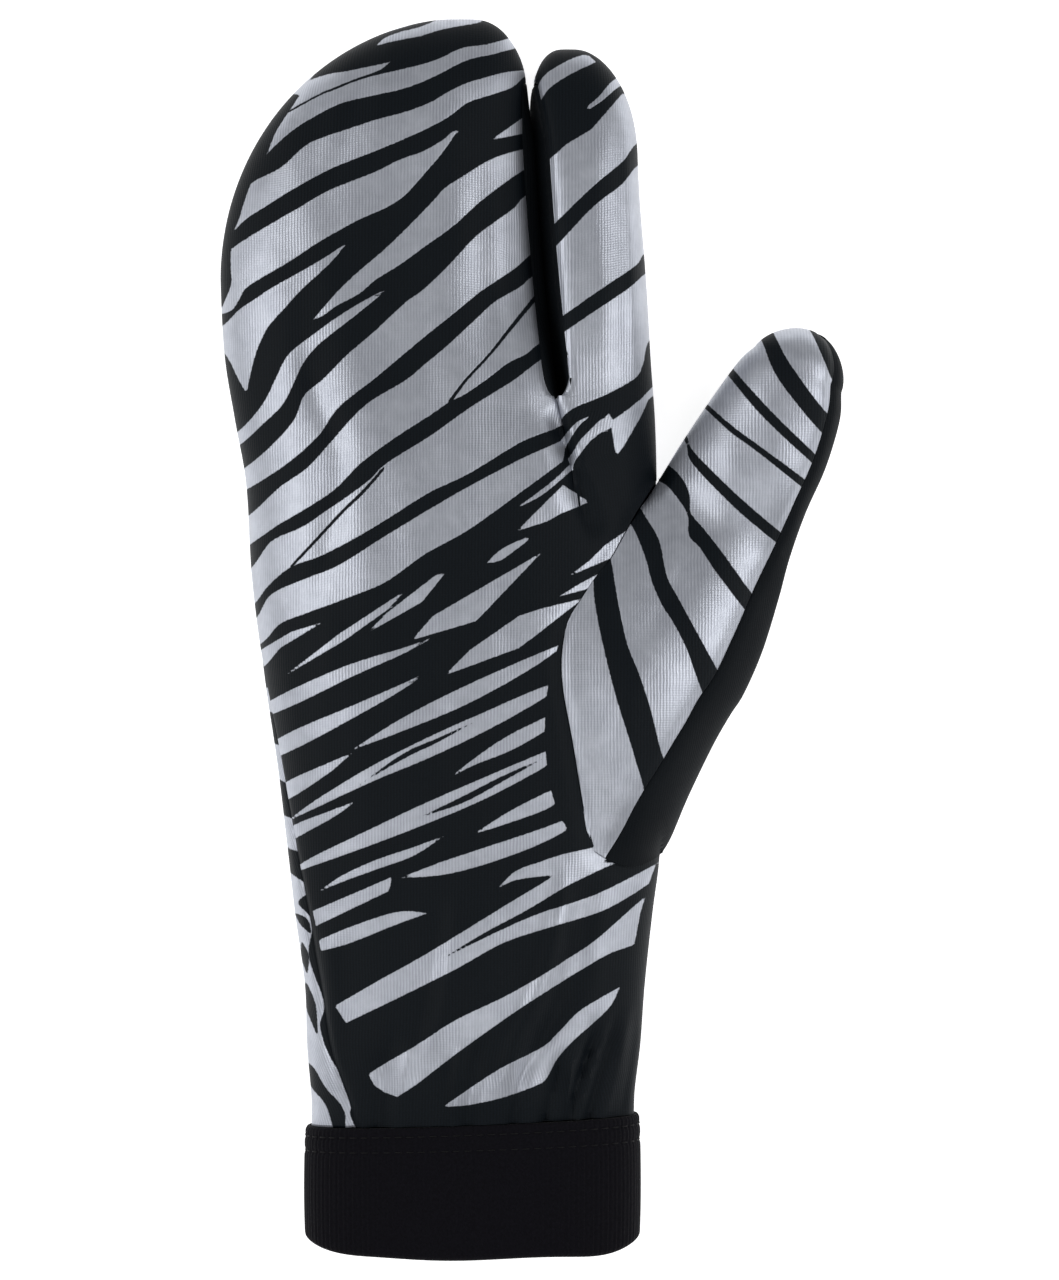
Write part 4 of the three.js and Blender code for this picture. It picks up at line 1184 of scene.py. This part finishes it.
def thumb_top(section, s):
    """The thumb's upper side a share s of the way from its left edge to its right one."""
    x, y = thumb_plan(section, s).T
    left_x, left_y = section["left"]
    seam_z = palm_height(left_x, left_y)
    crown = section["crown"] * section["shrink"]
    ball = THUMB_BALL * crown * np.sin(np.pi * s**THUMB_BALL_SKEW)
    on_palm = section["right_z"] + (seam_z - section["right_z"]) * dome(s) + ball
    apart = lerp(section["left_z"], section["right_z"], s) + crown * dome(2 * s - 1, THUMB_ROUND)
    fold = (fold_rise(THUMB_FOLDS, x, y) + ripples(x, y)) * dome(2 * s - 1) * section["shrink"]
    own = lerp(on_palm, apart, section["free"]) + fold
    z = lerp(own, palm_height(x, y), section["on_hand"])
    return np.stack([x, y, z], axis=-1)


def thumb_under(section, s):
    """The thumb's underside a share s of the way from its outer edge to the hand or its inner edge."""
    right = float(table_value(HAND, "y", "right", section["under_y"]))
    hand = np.array([right + THUMB_HAND_GAP, section["under_y"]])
    inner = hand if section["attached"] else section["left"]
    x, y = lerp(section["right"], inner, s[:, None]).T
    top = thumb_top(section, np.array([1.0]))[0, 2]
    inner_z = thumb_top(section, np.array([0.0]))[0, 2]
    if section["attached"]:
        inner_z = SEAM_Z + THUMB_HAND_RISE
    z = lerp(top, inner_z, s) - section["belly"] * section["shrink"] * dome(2 * s - 1, THUMB_ROUND)
    return np.stack([x, y, z], axis=-1)


def thumb_sections():
    body = np.arange(0, THUMB_LAST - THUMB_STEP / 2, THUMB_STEP)
    end = THUMB_LAST + np.linspace(0, 1, THUMB_END_ROWS + 1)
    return [thumb_section(at) for at in np.concatenate([body, end])]


def round_share(t):
    return (1 - np.cos(np.pi * t)) / 2


def round_share_back(s):
    return np.arccos(1 - 2 * s) / np.pi


def ease_crease(points, share):
    """Evens out the upper side's height along the thumb where it leaves the hand."""
    steps = np.arange(-3 * EASE_SECTIONS, 3 * EASE_SECTIONS + 1)
    weights = np.exp(-0.5 * (steps / EASE_SECTIONS) ** 2)
    weights /= weights.sum()
    last = len(points) - 1
    rows = np.arange(len(points))
    z = points[:, :, 2]
    even = sum(weight * z[np.clip(rows + step, 0, last)] for weight, step in zip(weights, steps))
    along = np.exp(-(((rows * THUMB_STEP - THUMB_CROTCH_ROW) / EASE_ROWS) ** 2))[:, None]
    across = smoothstep(share, 0, EASE_EDGE) * smoothstep(1 - share, 0, EASE_EDGE)
    points[:, :, 2] += along * across * (even - z)
    return points


def thumb_patches(sections):
    """The printed front of the thumb, and its black side and underside."""
    split = np.array([round_share_back(section["split"]) for section in sections])[:, None]
    t = np.linspace(0, 1, THUMB_FRONT_COLUMNS + 1)
    share = round_share(t * split)
    front = ease_crease(np.array([thumb_top(*pair) for pair in zip(sections, share)]), share)
    t = np.linspace(0, 1, THUMB_SIDE_COLUMNS + 1)
    share = round_share(lerp(split, 1, t))
    side = ease_crease(np.array([thumb_top(*pair) for pair in zip(sections, share)]), share)
    t = np.linspace(0, 1, THUMB_UNDER_COLUMNS + 1)
    under = [thumb_under(section, round_share(t)) for section in sections]
    back = [grid_patch(side, right=NO_SEAM), grid_patch(np.array(under), left=NO_SEAM)]
    front = join_patches(grid_patch(front))
    front.cloth = front.points[:, :2].copy()
    return front, join_patches(*back)


def thumb_outline(sections):
    """The thumb's seam on the palm in plan, from the crotch down and round the base."""
    attached = [section for section in sections if section["attached"]]
    side = np.array([section["left"] for section in reversed(attached)])
    base = thumb_plan(attached[0], round_share(np.linspace(0, 1, THUMB_BASE_POINTS)))
    crotch = np.array([[THUMB["left_x"][THUMB_CROTCH_ROW], THUMB["left_y"][THUMB_CROTCH_ROW]]])
    return np.concatenate([crotch, side, base[1:]])


def inside_distance(points, outline):
    """Distance to a closed outline, positive inside it."""
    best = np.full(len(points), np.inf)
    inside = np.zeros(len(points), bool)
    x, y = points.T
    for a, b in zip(outline, np.roll(outline, -1, axis=0)):
        step = b - a
        length = step @ step
        if length < TINY:
            continue
        t = np.clip((points - a) @ step / length, 0, 1)
        best = np.minimum(best, np.hypot(*(points - a - t[:, None] * step).T))
        if a[1] != b[1]:
            crosses = (a[1] > y) != (b[1] > y)
            inside ^= crosses & (x < step[0] * (y - a[1]) / step[1] + a[0])
    return np.where(inside, best, -best)


def ink(pixels, shapes, ground):
    """How far inside the silver a place of the picture is, in pixels: below 0 it is black cloth."""
    value = np.full(len(pixels), float(ground * INK_REACH))
    for shape in shapes:
        outline = np.concatenate([shape.edge, shape.back[::-1]])
        low, high = outline.min(axis=0) - INK_REACH, outline.max(axis=0) + INK_REACH
        near = ((pixels > low) & (pixels < high)).all(axis=1)
        depth = np.clip(inside_distance(pixels[near], outline), -INK_REACH, INK_REACH)
        if shape.ink == SILVER:
            value[near] = np.maximum(value[near], depth)
        else:
            value[near] = np.minimum(value[near], -depth)
    return value


def nearest_blades(pixels, blades):
    """For each place the signed distance across the nearest thin stripe, half the stripe's width
    there, which is below 0 past its ends, and its ink."""
    found = np.tile(NO_BLADE, (len(pixels), 1))
    best = np.full(len(pixels), FAR)
    for shape in blades:
        line, widths = shape.line[:, :2], shape.line[:, 2] / 2
        reach = BLADE_REACH + widths.max()
        near = ((pixels > line.min(axis=0) - reach) & (pixels < line.max(axis=0) + reach)).all(axis=1)
        near = np.flatnonzero(near)
        step = np.diff(line, axis=0)
        length = np.linalg.norm(step, axis=1)
        offset = pixels[near, None] - line[None, :-1]
        along = (offset * step).sum(axis=2) / length
        held = np.clip(along, 0, length)
        away = np.linalg.norm(offset - step * (held / length)[:, :, None], axis=2)
        k = away.argmin(axis=1)
        row = np.arange(len(near))
        across = (step[k, 0] * offset[row, k, 1] - step[k, 1] * offset[row, k, 0]) / length[k]
        half = lerp(widths[k], widths[k + 1], held[row, k] / length[k])
        half -= np.abs(along[row, k] - held[row, k])
        closer = (away[row, k] < best[near]) & (np.abs(across) < np.maximum(half, 0) + BLADE_REACH)
        taken = near[closer]
        best[taken] = away[row, k][closer]
        found[taken, 0] = across[closer]
        found[taken, 1] = half[closer]
        found[taken, 2] = shape.ink
    found[:, :2] *= PIXEL
    return found


def picture_place(points):
    """Where the camera sees a point, in the picture's pixels."""
    shrink = 1 - (points[:, 2] - SEAM_Z) / CAMERA_DISTANCE
    x = CAMERA_X + (points[:, 0] - CAMERA_X) / shrink
    y = CAMERA_Y + (points[:, 1] - CAMERA_Y) / shrink
    return np.stack([PIXEL_X0 + x / PIXEL, PIXEL_Y0 - y / PIXEL], axis=1)


def palm_ink(points):
    pixels = picture_place(points)
    x, y = points[:, 0], points[:, 1]
    on_index = (x > table_value(SLOT, "y", "x", y)) & (y > CROTCH_Y - INDEX_PRINT_DROP)
    upper = np.where(on_index, ink(pixels, INDEX_PRINT, SILVER), ink(pixels, FINGER_PRINT, SILVER))
    ground = ink(pixels, LOWER_GROUND, SILVER)
    lower = ink(pixels, LOWER_PRINT, DARK)
    film = np.maximum(np.minimum(upper, ground), lower)
    return film * PIXEL, nearest_blades(pixels, HAND_BLADES)


def back_stripes(points):
    """How far inside a stripe of the back a place is."""
    x, y = points[:, 0], points[:, 1]
    slant = y + STRIPE_SLANT * x
    for size, per_x, per_y, start in zip(*STRIPE_BENDS.values()):
        slant = slant + size * np.sin(per_x * x + per_y * y + start)
    wave = 0
    for share, per_slant, per_x, per_y in zip(*STRIPE_WAVES.values()):
        wave = wave + share * np.sin(per_slant * slant + per_x * x + per_y * y)
    return STRIPE_DEPTH * wave


def back_ink(points):
    pixels = picture_place(points)
    chart = ink(pixels, WRIST_PRINT, DARK) * PIXEL
    low = 1 - smoothstep(points[:, 1], *WRIST_CHART_Y)
    below, nearly = WRIST_CHART_BELOW_SEAM
    above = smoothstep(points[:, 2], SEAM_Z - below, SEAM_Z - nearly) * low
    blades = nearest_blades(pixels, WRIST_BLADES)
    blades[points[:, 2] < SEAM_Z] = NO_BLADE
    return lerp(back_stripes(points), chart, above), blades


def thumb_ink(points):
    pixels = picture_place(points)
    return ink(pixels, THUMB_PRINT, SILVER) * PIXEL, nearest_blades(pixels, THUMB_BLADES)


# Materials
class Nodes:
    """Short ways to build a material's nodes."""

    def __init__(self, name):
        self.material = bpy.data.materials.new(name)
        self.material.use_nodes = True
        self.tree = self.material.node_tree
        self.shader = self.tree.nodes["Principled BSDF"]

    def add(self, kind, inputs=None, **settings):
        node = self.tree.nodes.new(kind)
        for key, value in settings.items():
            setattr(node, key, value)
        for key, value in (inputs or {}).items():
            self.put(value, node.inputs[key])
        return node

    def put(self, value, socket):
        if isinstance(value, bpy.types.NodeSocket):
            self.tree.links.new(value, socket)
        else:
            socket.default_value = value

    def math(self, operation, *values):
        node = self.add("ShaderNodeMath", operation=operation)
        for socket, value in zip(node.inputs, values):
            self.put(value, socket)
        return node.outputs[0]

    def attribute(self, name, output="Fac"):
        return self.add("ShaderNodeAttribute", attribute_name=name).outputs[output]

    def noise(self, name):
        """One of the noises over the piece's own place."""
        per_metre, detail, low, high, to_low, to_high = NOISES[name]
        place = self.add("ShaderNodeTexCoord").outputs["Object"]
        inputs = {"Vector": place, "Scale": per_metre, "Detail": detail}
        found = self.add("ShaderNodeTexNoise", inputs).outputs["Fac"]
        return self.steps(found, low, high, to_low, to_high)

    def blend(self, factor, first, second):
        node = self.add("ShaderNodeMix", data_type="RGBA")
        self.put(factor, node.inputs[0])
        self.put(first, node.inputs[6])
        self.put(second, node.inputs[7])
        return node.outputs[2]

    def tones(self, factor, pair):
        return self.blend(factor, linear(pair[0]), linear(pair[1]))

    def knit(self):
        """Fine ribs of a knit along the hand, and their height once crossed by its courses."""
        split = self.add("ShaderNodeSeparateXYZ", {"Vector": self.attribute("cloth", "Vector")})
        wales = self.wave(self.math("ADD", split.outputs["X"], self.noise("wobble")), WALE)
        courses = self.math("MULTIPLY", self.wave(split.outputs["Y"], COURSE), 1 - WALE_SHARE)
        return wales, self.math("MULTIPLY_ADD", wales, WALE_SHARE, courses)

    def finish(self, name, tone, roughness=None, normal=None):
        """Gives the material its colour, gloss and relief."""
        self.put(tone, self.shader.inputs["Base Color"])
        self.put(roughness or ROUGHNESS[name], self.shader.inputs["Roughness"])
        self.shader.inputs["Specular IOR Level"].default_value = SHINE[name]
        if normal:
            self.put(normal, self.shader.inputs["Normal"])
        return self.material

    def steps(self, value, low, high, to_low=0.0, to_high=1.0):
        inputs = {"Value": value, "From Min": low, "From Max": high, "To Min": to_low, "To Max": to_high}
        return self.add("ShaderNodeMapRange", inputs).outputs[0]

    def wave(self, value, pitch):
        """A sine between 0 and 1 that repeats every pitch millimetres."""
        turned = self.math("SINE", self.math("MULTIPLY", value, 2 * math.pi / pitch))
        return self.math("MULTIPLY_ADD", turned, 0.5, 0.5)

    def bump(self, height, distance, normal=None):
        inputs = {"Height": height, "Distance": distance * METRES, "Strength": 1.0}
        node = self.add("ShaderNodeBump", inputs)
        if normal:
            self.put(normal, node.inputs["Normal"])
        return node.outputs[0]


def linear(colour):
    """A colour given in sRGB, 0 to 255."""
    parts = [c / 255 for c in colour]
    return (*(c / 12.92 if c <= 0.04045 else ((c + 0.055) / 1.055) ** 2.4 for c in parts), 1)


def thin_stripes(nodes, film, ragged):
    """The film with the thin stripes put over it."""
    split = nodes.add("ShaderNodeSeparateXYZ", {"Vector": nodes.attribute("blade", "Vector")})
    away = nodes.math("ABSOLUTE", split.outputs["X"])
    inside = nodes.math("ADD", nodes.math("SUBTRACT", split.outputs["Y"], away), ragged)
    cover = nodes.steps(inside, -FILM_EDGE, FILM_EDGE)
    tone = nodes.math("GREATER_THAN", split.outputs["Z"], 0.0)
    change = nodes.math("MULTIPLY", cover, nodes.math("SUBTRACT", tone, film))
    return nodes.math("ADD", film, change)


def printed_material():
    """Silver film over black knit."""
    name = "printed_fabric"
    nodes = Nodes(name)
    wales, knit = nodes.knit()
    ragged = nodes.noise("ragged")
    edge = nodes.math("ADD", nodes.attribute("print"), ragged)
    film = thin_stripes(nodes, nodes.steps(edge, -FILM_EDGE, FILM_EDGE), ragged)
    silver = nodes.tones(nodes.noise("mottle"), SILVER_TONES)
    # Painted shade: the silver is darker between the knit's wales, in random patches
    between = nodes.math("SUBTRACT", 1.0, wales)
    groove_shade = nodes.math("MULTIPLY", between, nodes.noise("uneven"))
    silver = nodes.blend(groove_shade, silver, linear(SILVER_GROOVE_SHADE))
    # The black under the film follows the knit's height: painted shade in its grooves, painted light on its
    # ribs
    tone = nodes.blend(film, nodes.tones(knit, PRINTED_BLACK_SHADED_TO_LIT), silver)
    nodes.put(nodes.steps(film, 0.0, 1.0, 0.0, FILM_METALLIC), nodes.shader.inputs["Metallic"])
    roughness = nodes.steps(film, 0.0, 1.0, CLOTH_ROUGHNESS, FILM_ROUGHNESS)
    layer = nodes.bump(film, FILM_BUMP, normal=nodes.bump(knit, PRINTED_BUMP))
    return nodes.finish(name, tone, roughness, layer)


def black_material():
    name = "black_fabric"
    nodes = Nodes(name)
    knit = nodes.knit()[1]
    # The tone follows the knit's height: painted shade in its grooves, painted light on its ribs
    tone = nodes.tones(knit, PLAIN_BLACK_SHADED_TO_LIT)
    tone = nodes.blend(nodes.noise("patches"), tone, linear(WORN_BLACK))
    return nodes.finish(name, tone, normal=nodes.bump(knit, KNIT_BUMP))


def cuff_material():
    name = "cuff_knit"
    nodes = Nodes(name)
    knit = nodes.knit()[1]
    fuzz = nodes.noise("fuzz")
    nodes.shader.inputs["Sheen Weight"].default_value = CUFF_SHEEN
    relief = nodes.bump(knit, KNIT_BUMP, normal=nodes.bump(fuzz, FUZZ_BUMP))
    return nodes.finish(name, nodes.tones(fuzz, CUFF_TONES), normal=relief)


def thread_material():
    name = "black_thread"
    nodes = Nodes(name)
    return nodes.finish(name, nodes.tones(nodes.noise("thread"), THREAD_TONES))


def floor_material():
    name = "pale_floor"
    nodes = Nodes(name)
    nodes.shader.inputs["Emission Color"].default_value = WHITE
    nodes.shader.inputs["Emission Strength"].default_value = FLOOR_GLOW
    return nodes.finish(name, nodes.tones(nodes.noise("floor"), FLOOR_TONES))


# Pieces
def mesh_object(name, points, triangles, material):
    mesh = bpy.data.meshes.new(name)
    mesh.vertices.add(len(points))
    mesh.vertices.foreach_set("co", ((points - CENTRE) * METRES).astype(np.float32).ravel())
    mesh.loops.add(triangles.size)
    mesh.loops.foreach_set("vertex_index", triangles.astype(np.int32).ravel())
    mesh.polygons.add(len(triangles))
    mesh.polygons.foreach_set("loop_start", np.arange(0, triangles.size, 3, dtype=np.int32))
    mesh.polygons.foreach_set("use_smooth", np.full(len(triangles), True))
    mesh.update(calc_edges=True)
    mesh.validate()
    piece = bpy.data.objects.new(name, mesh)
    bpy.context.scene.collection.objects.link(piece)
    if material:
        mesh.materials.append(material)
    return piece


def mesh_points(mesh):
    flat = np.zeros(len(mesh.vertices) * 3, np.float32)
    mesh.vertices.foreach_get("co", flat)
    return flat.reshape(-1, 3).astype(float) / METRES + CENTRE


def set_attribute(mesh, name, values):
    if values.ndim == 1:
        layer = mesh.attributes.new(name, "FLOAT", "POINT")
        layer.data.foreach_set("value", values.astype(np.float32))
    else:
        layer = mesh.attributes.new(name, "FLOAT_VECTOR", "POINT")
        flat = np.zeros((len(values), 3), np.float32)
        flat[:, : values.shape[1]] = values
        layer.data.foreach_set("vector", flat.ravel())


def dress(piece, node):
    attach(piece, "root")
    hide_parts(node)


def corner_share(points):
    """What is left of the wall and of the seam's dip in the narrow corner at the thumb's base."""
    corner = [THUMB[column][0] for column in ("right_x", "right_y", "right_z")]
    away = np.linalg.norm(points - corner, axis=1)
    return np.clip(away / CORNER_REACH, CORNER_WALL, 1)


def sheet_piece(name, patch, normals, material, print_of=None, cutter=None, wall=WALL):
    """A piece of cloth from a patch, with its place in the flat cloth and its print."""
    points, triangles, origin = thicken(patch, normals, wall)
    is_outer = origin < len(patch.points)
    cloth = patch.cloth[origin % len(patch.points)]
    piece = mesh_object(name, points, triangles, material)
    if cutter is not None:
        points, is_outer, cloth = cut(piece, cutter, points, is_outer, cloth)
    if print_of:
        film, blades = print_of(points)
        set_attribute(piece.data, "print", np.where(is_outer, film, -1.0))
        set_attribute(piece.data, "blade", np.where(is_outer[:, None], blades, NO_BLADE))
    set_attribute(piece.data, "cloth", cloth)
    return piece


def cut(piece, cutter, points, is_outer, cloth):
    """Takes the cutter out of a piece, and carries what is known of its points over to the new ones."""
    modifier = piece.modifiers.new("cut", "BOOLEAN")
    modifier.operation = "DIFFERENCE"
    modifier.solver = "MANIFOLD"
    modifier.object = cutter
    graph = bpy.context.evaluated_depsgraph_get()
    mesh = bpy.data.meshes.new_from_object(piece.evaluated_get(graph))
    piece.modifiers.clear()
    old = piece.data
    piece.data = mesh
    bpy.data.meshes.remove(old)
    bpy.data.objects.remove(cutter)
    mesh.set_sharp_from_angle(angle=math.radians(SHARP_DEGREES))
    tree = kdtree.KDTree(len(points))
    for i, point in enumerate(points):
        tree.insert(point, i)
    tree.balance()
    new_points = mesh_points(mesh)
    nearest = np.array([tree.find(point)[1] for point in new_points])
    shift = new_points[:, :2] - points[nearest, :2]
    return new_points, is_outer[nearest], cloth[nearest] + shift


def thumb_cutter(outline):
    """Everything over the thumb's seam, to cut its place out of the palm."""
    far = np.array([[CUT_RIGHT, outline[-1, 1]], [CUT_RIGHT, outline[0, 1]]])
    ring = np.concatenate([outline, far])
    count = len(ring)
    low = np.column_stack([ring, np.zeros(count)])
    high = np.column_stack([ring, np.full(count, CUT_TOP)])
    points = np.concatenate([low, high, [[CUT_HUB_X, 0, 0], [CUT_HUB_X, 0, CUT_TOP]]])
    index = np.arange(2 * count).reshape(2, count)
    floor, roof = fan(index[0, ::-1], 2 * count), fan(index[1], 2 * count + 1)
    triangles = np.concatenate([grid_triangles(wrapped(index)), floor, roof])
    return mesh_object("thumb_cutter", points, triangles, None)


def cuff_point(y, inset, angle):
    half = (CUFF_RIGHT - CUFF_LEFT) / 2
    across = signed_power(np.cos(angle), 2 / SQUARE)
    up = np.abs(np.sin(angle)) ** (2 / SQUARE)
    x = (CUFF_LEFT + CUFF_RIGHT) / 2 + (half - inset) * across
    top = SEAM_Z + up * (CUFF_HEIGHT - SEAM_Z - inset)
    bottom = np.maximum(np.maximum(inset, 0), SEAM_Z - up * (SEAM_Z + FLATTEN - inset))
    z = np.where(np.sin(angle) >= 0, top, bottom)
    return np.stack(np.broadcast_arrays(x, y + hem_lift(x, y), z), axis=-1)


def corner_lift(x, drop):
    """The folded edge is rounded off at both sides, and not quite even along the rest."""
    side = np.minimum(x - CUFF_LEFT, CUFF_RIGHT - x)
    near = np.maximum(1 - side / CUFF_CORNER_REACH, 0) ** CUFF_CORNER_POWER
    wave = CUFF_WAVE * np.sin(CUFF_WAVE_PER_MM * x + 1) * (1 - near)
    share = np.clip(drop / (CUFF_TOP_Y - CUFF_BOTTOM_Y), 0, 1) ** CUFF_CORNER_FADE
    return share * (CUFF_CORNER * near + wave + CUFF_WAVE)


def even_angles(count):
    """Angles that divide the cuff's outline into equal steps."""
    angle = np.linspace(0, 2 * np.pi, ANGLE_STEPS + 1)
    points = cuff_point(CUFF_MIDDLE_Y, 0, angle)
    arc = np.concatenate([[0], np.cumsum(np.linalg.norm(np.diff(points, axis=0), axis=1))])
    return np.interp(np.linspace(0, arc[-1], count, endpoint=False), arc, angle), arc[-1]


def cuff_piece(material):
    angle, around = even_angles(CUFF_COLUMNS)
    drop = np.concatenate([CUFF_FIRST_ROWS, np.arange(*CUFF_ROWS)])
    turn = np.linspace(0, np.pi, CUFF_TURN_ROWS)
    inner = np.array(CUFF_INNER_ROWS)
    bulge = CUFF_SWELL * np.sin(np.pi * np.clip(drop / (CUFF_TOP_Y - CUFF_BOTTOM_Y), 0, 1))
    edge = CUFF_EDGE * np.exp(-((drop / CUFF_EDGE_WIDTH) ** 2))
    channels = [np.exp(-(((drop - row) / CHANNEL_WIDTH) ** 2)) for row in CUFF_STITCH_ROWS]
    fold_y = CUFF_BOTTOM_Y + CUFF_ROUND * (1 - np.sin(turn))
    fold_inset = CUFF_WALL / 2 * (1 - np.cos(turn))
    y = np.concatenate([CUFF_TOP_Y - drop, fold_y, CUFF_TOP_Y - inner])
    outer_inset = edge - bulge + CHANNEL_DEPTH * sum(channels)
    inset = np.concatenate([outer_inset, fold_inset, np.full(len(inner), CUFF_WALL)])
    on_rib = np.concatenate([np.ones(len(drop)), (1 + np.cos(turn)) / 2, np.zeros(len(inner))])
    ribs = round(around / RIB_PITCH)
    rib = np.cos(np.arange(CUFF_COLUMNS) / CUFF_COLUMNS * 2 * np.pi * ribs) * RIB_DEPTH
    points = cuff_point(y[:, None], inset[:, None] - on_rib[:, None] * rib, angle[None, :])
    points[:, :, 1] += corner_lift(points[:, :, 0], (CUFF_TOP_Y - y)[:, None])
    points[:, :, 2] = np.maximum(points[:, :, 2], 0.0)
    rows = len(y)
    index = np.arange(rows * CUFF_COLUMNS).reshape(rows, CUFF_COLUMNS)
    triangles = grid_triangles(wrapped(np.concatenate([index, index[:1]])))
    piece = mesh_object("cuff_knit", points.reshape(-1, 3), triangles, material)
    u = np.broadcast_to(np.arange(CUFF_COLUMNS) / CUFF_COLUMNS * around, (rows, CUFF_COLUMNS))
    v = np.broadcast_to(np.cumsum(np.abs(np.gradient(y)))[:, None], (rows, CUFF_COLUMNS))
    set_attribute(piece.data, "cloth", np.stack([u, v], -1).reshape(-1, 2))
    return piece


def tube(line, radius, sides=THREAD_SIDES):
    """A closed round thread along a line."""
    along = np.gradient(line, axis=0)
    along /= np.linalg.norm(along, axis=1, keepdims=True)
    side = np.cross(along, [0, 0, 1.0])
    side /= np.maximum(np.linalg.norm(side, axis=1, keepdims=True), TINY)
    up = np.cross(side, along)
    share = np.sqrt(np.clip(1 - np.linspace(-1, 1, len(line)) ** 4, THREAD_END, 1)) * radius
    turn = np.linspace(0, 2 * np.pi, sides, endpoint=False)
    across, upward = np.cos(turn)[None, :, None], np.sin(turn)[None, :, None]
    ring = across * side[:, None, :] + upward * up[:, None, :]
    points = (line[:, None, :] + ring * share[:, None, None]).reshape(-1, 3)
    points = np.concatenate([points, line[[0, -1]]])
    index = np.arange(len(line) * sides).reshape(len(line), sides)
    first = len(points) - 2
    walls = grid_triangles(wrapped(index)[:, ::-1])
    return points, np.concatenate([walls, fan(index[0], first), fan(index[-1, ::-1], first + 1)])


def stitch_piece(material):
    """Rows of stitches that hold the cuff's upper edge."""
    count = int(even_angles(1)[1] / STITCH_PITCH)
    angles, _ = even_angles(count * STITCH_SAMPLES)
    angles = np.concatenate([angles, angles[:STITCH_SAMPLES] + 2 * np.pi])
    span = STITCH_LENGTH / STITCH_PITCH * STITCH_SAMPLES
    arch = STITCH_ARCH * np.sin(np.linspace(0, np.pi, STITCH_POINTS))
    points, triangles, start = [], [], 0
    for row in CUFF_STITCH_ROWS:
        for n in range(count):
            at = n * STITCH_SAMPLES + np.linspace(0, span, STITCH_POINTS)
            angle = np.interp(at, np.arange(len(angles)), angles)
            line = cuff_point(CUFF_TOP_Y - row, STITCH_SINK - arch, angle)
            if line[:, 2].min() < LOWEST_STITCH:
                continue
            ring, faces = tube(line, STITCH_RADIUS)
            points.append(ring)
            triangles.append(faces + start)
            start += len(ring)
    return mesh_object("cuff_stitches", np.concatenate(points), np.concatenate(triangles), material)


def build_mitten():
    printed = printed_material()
    black = black_material()
    palm, back, fourchette = palm_patch(), back_patch(), fourchette_patch()
    sections = thumb_sections()
    outline = thumb_outline(sections)
    front, under = thumb_patches(sections)
    hand_normals = shared_normals(palm, back, fourchette)
    thumb_normals = shared_normals(front, under)

    for patch, normals in zip((palm, back, fourchette), hand_normals):
        dip_seams(patch, normals)
    near, _ = along_line(palm.points[:, :2], outline)
    dip = THUMB_SEAM_DIP * np.exp(-((near / THUMB_SEAM_WIDTH) ** 2)) * (palm.points[:, 2] > SEAM_Z + 1)
    palm.points[:, 2] -= dip
    dip_seams(front, thumb_normals[0], THUMB_FRONT_DIP, THUMB_SEAM_WIDTH)
    dip_seams(under, thumb_normals[1], SEAM_DIP * corner_share(under.points))

    palm_wall = folded_wall(palm, hand_normals[0])
    palm_cut = thumb_cutter(outline)
    under_wall = WALL * corner_share(under.points)
    palm_cloth = sheet_piece("palm_cloth", palm, hand_normals[0], printed, palm_ink, palm_cut, palm_wall)
    dress(palm_cloth, "palm_panel")
    back_cloth = sheet_piece("back_cloth", back, hand_normals[1], printed, back_ink)
    dress(back_cloth, "back_panel")
    strip = sheet_piece("fourchette_cloth", fourchette, hand_normals[2], black)
    dress(strip, "finger_fourchette")
    thumb_front = sheet_piece("thumb_front_cloth", front, thumb_normals[0], printed, thumb_ink)
    dress(thumb_front, "thumb_front")
    thumb_back = sheet_piece("thumb_back_cloth", under, thumb_normals[1], black, wall=under_wall)
    dress(thumb_back, "thumb_back")
    dress(cuff_piece(cuff_material()), "cuff_band")
    stitches = stitch_piece(thread_material())
    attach(stitches, "root")


def build_stage():
    """Floor, light and camera"""
    mesh = bpy.data.meshes.new("floor")
    signs = ((-1, -1), (1, -1), (1, 1), (-1, 1))
    corners = [(x * FLOOR_HALF, y * FLOOR_HALF, 0) for x, y in signs]
    mesh.from_pydata(corners, [], [(0, 1, 2, 3)])
    mesh.materials.append(floor_material())
    floor = bpy.data.objects.new("floor", mesh)
    bpy.context.scene.collection.objects.link(floor)

    world = bpy.data.worlds.new("studio")
    world.use_nodes = True
    background = world.node_tree.nodes["Background"]
    background.inputs["Color"].default_value = WHITE
    background.inputs["Strength"].default_value = STUDIO_LIGHT
    bpy.context.scene.world = world
    for n, (x, y, z, size, power) in enumerate(zip(*SOFTBOXES.values())):
        data = bpy.data.lights.new(f"softbox_{n}", "AREA")
        data.shape = "SQUARE"
        data.size = size
        data.energy = power
        lamp = bpy.data.objects.new(f"softbox_{n}", data)
        lamp.location = (x, y, z)
        lamp.rotation_euler = lamp.location.to_track_quat("Z", "Y").to_euler()
        bpy.context.scene.collection.objects.link(lamp)

    data = bpy.data.cameras.new("camera")
    data.sensor_fit = "VERTICAL"
    data.sensor_height = SENSOR
    data.lens = SENSOR * CAMERA_DISTANCE / (PICTURE_HEIGHT * PIXEL)
    camera = bpy.data.objects.new("camera", data)
    place = np.array([CAMERA_X, CAMERA_Y, SEAM_Z + CAMERA_DISTANCE]) - CENTRE
    camera.location = place * METRES
    bpy.context.scene.collection.objects.link(camera)
    bpy.context.scene.camera = camera
    bpy.context.scene.view_settings.view_transform = "Standard"


build_mitten()
build_stage()
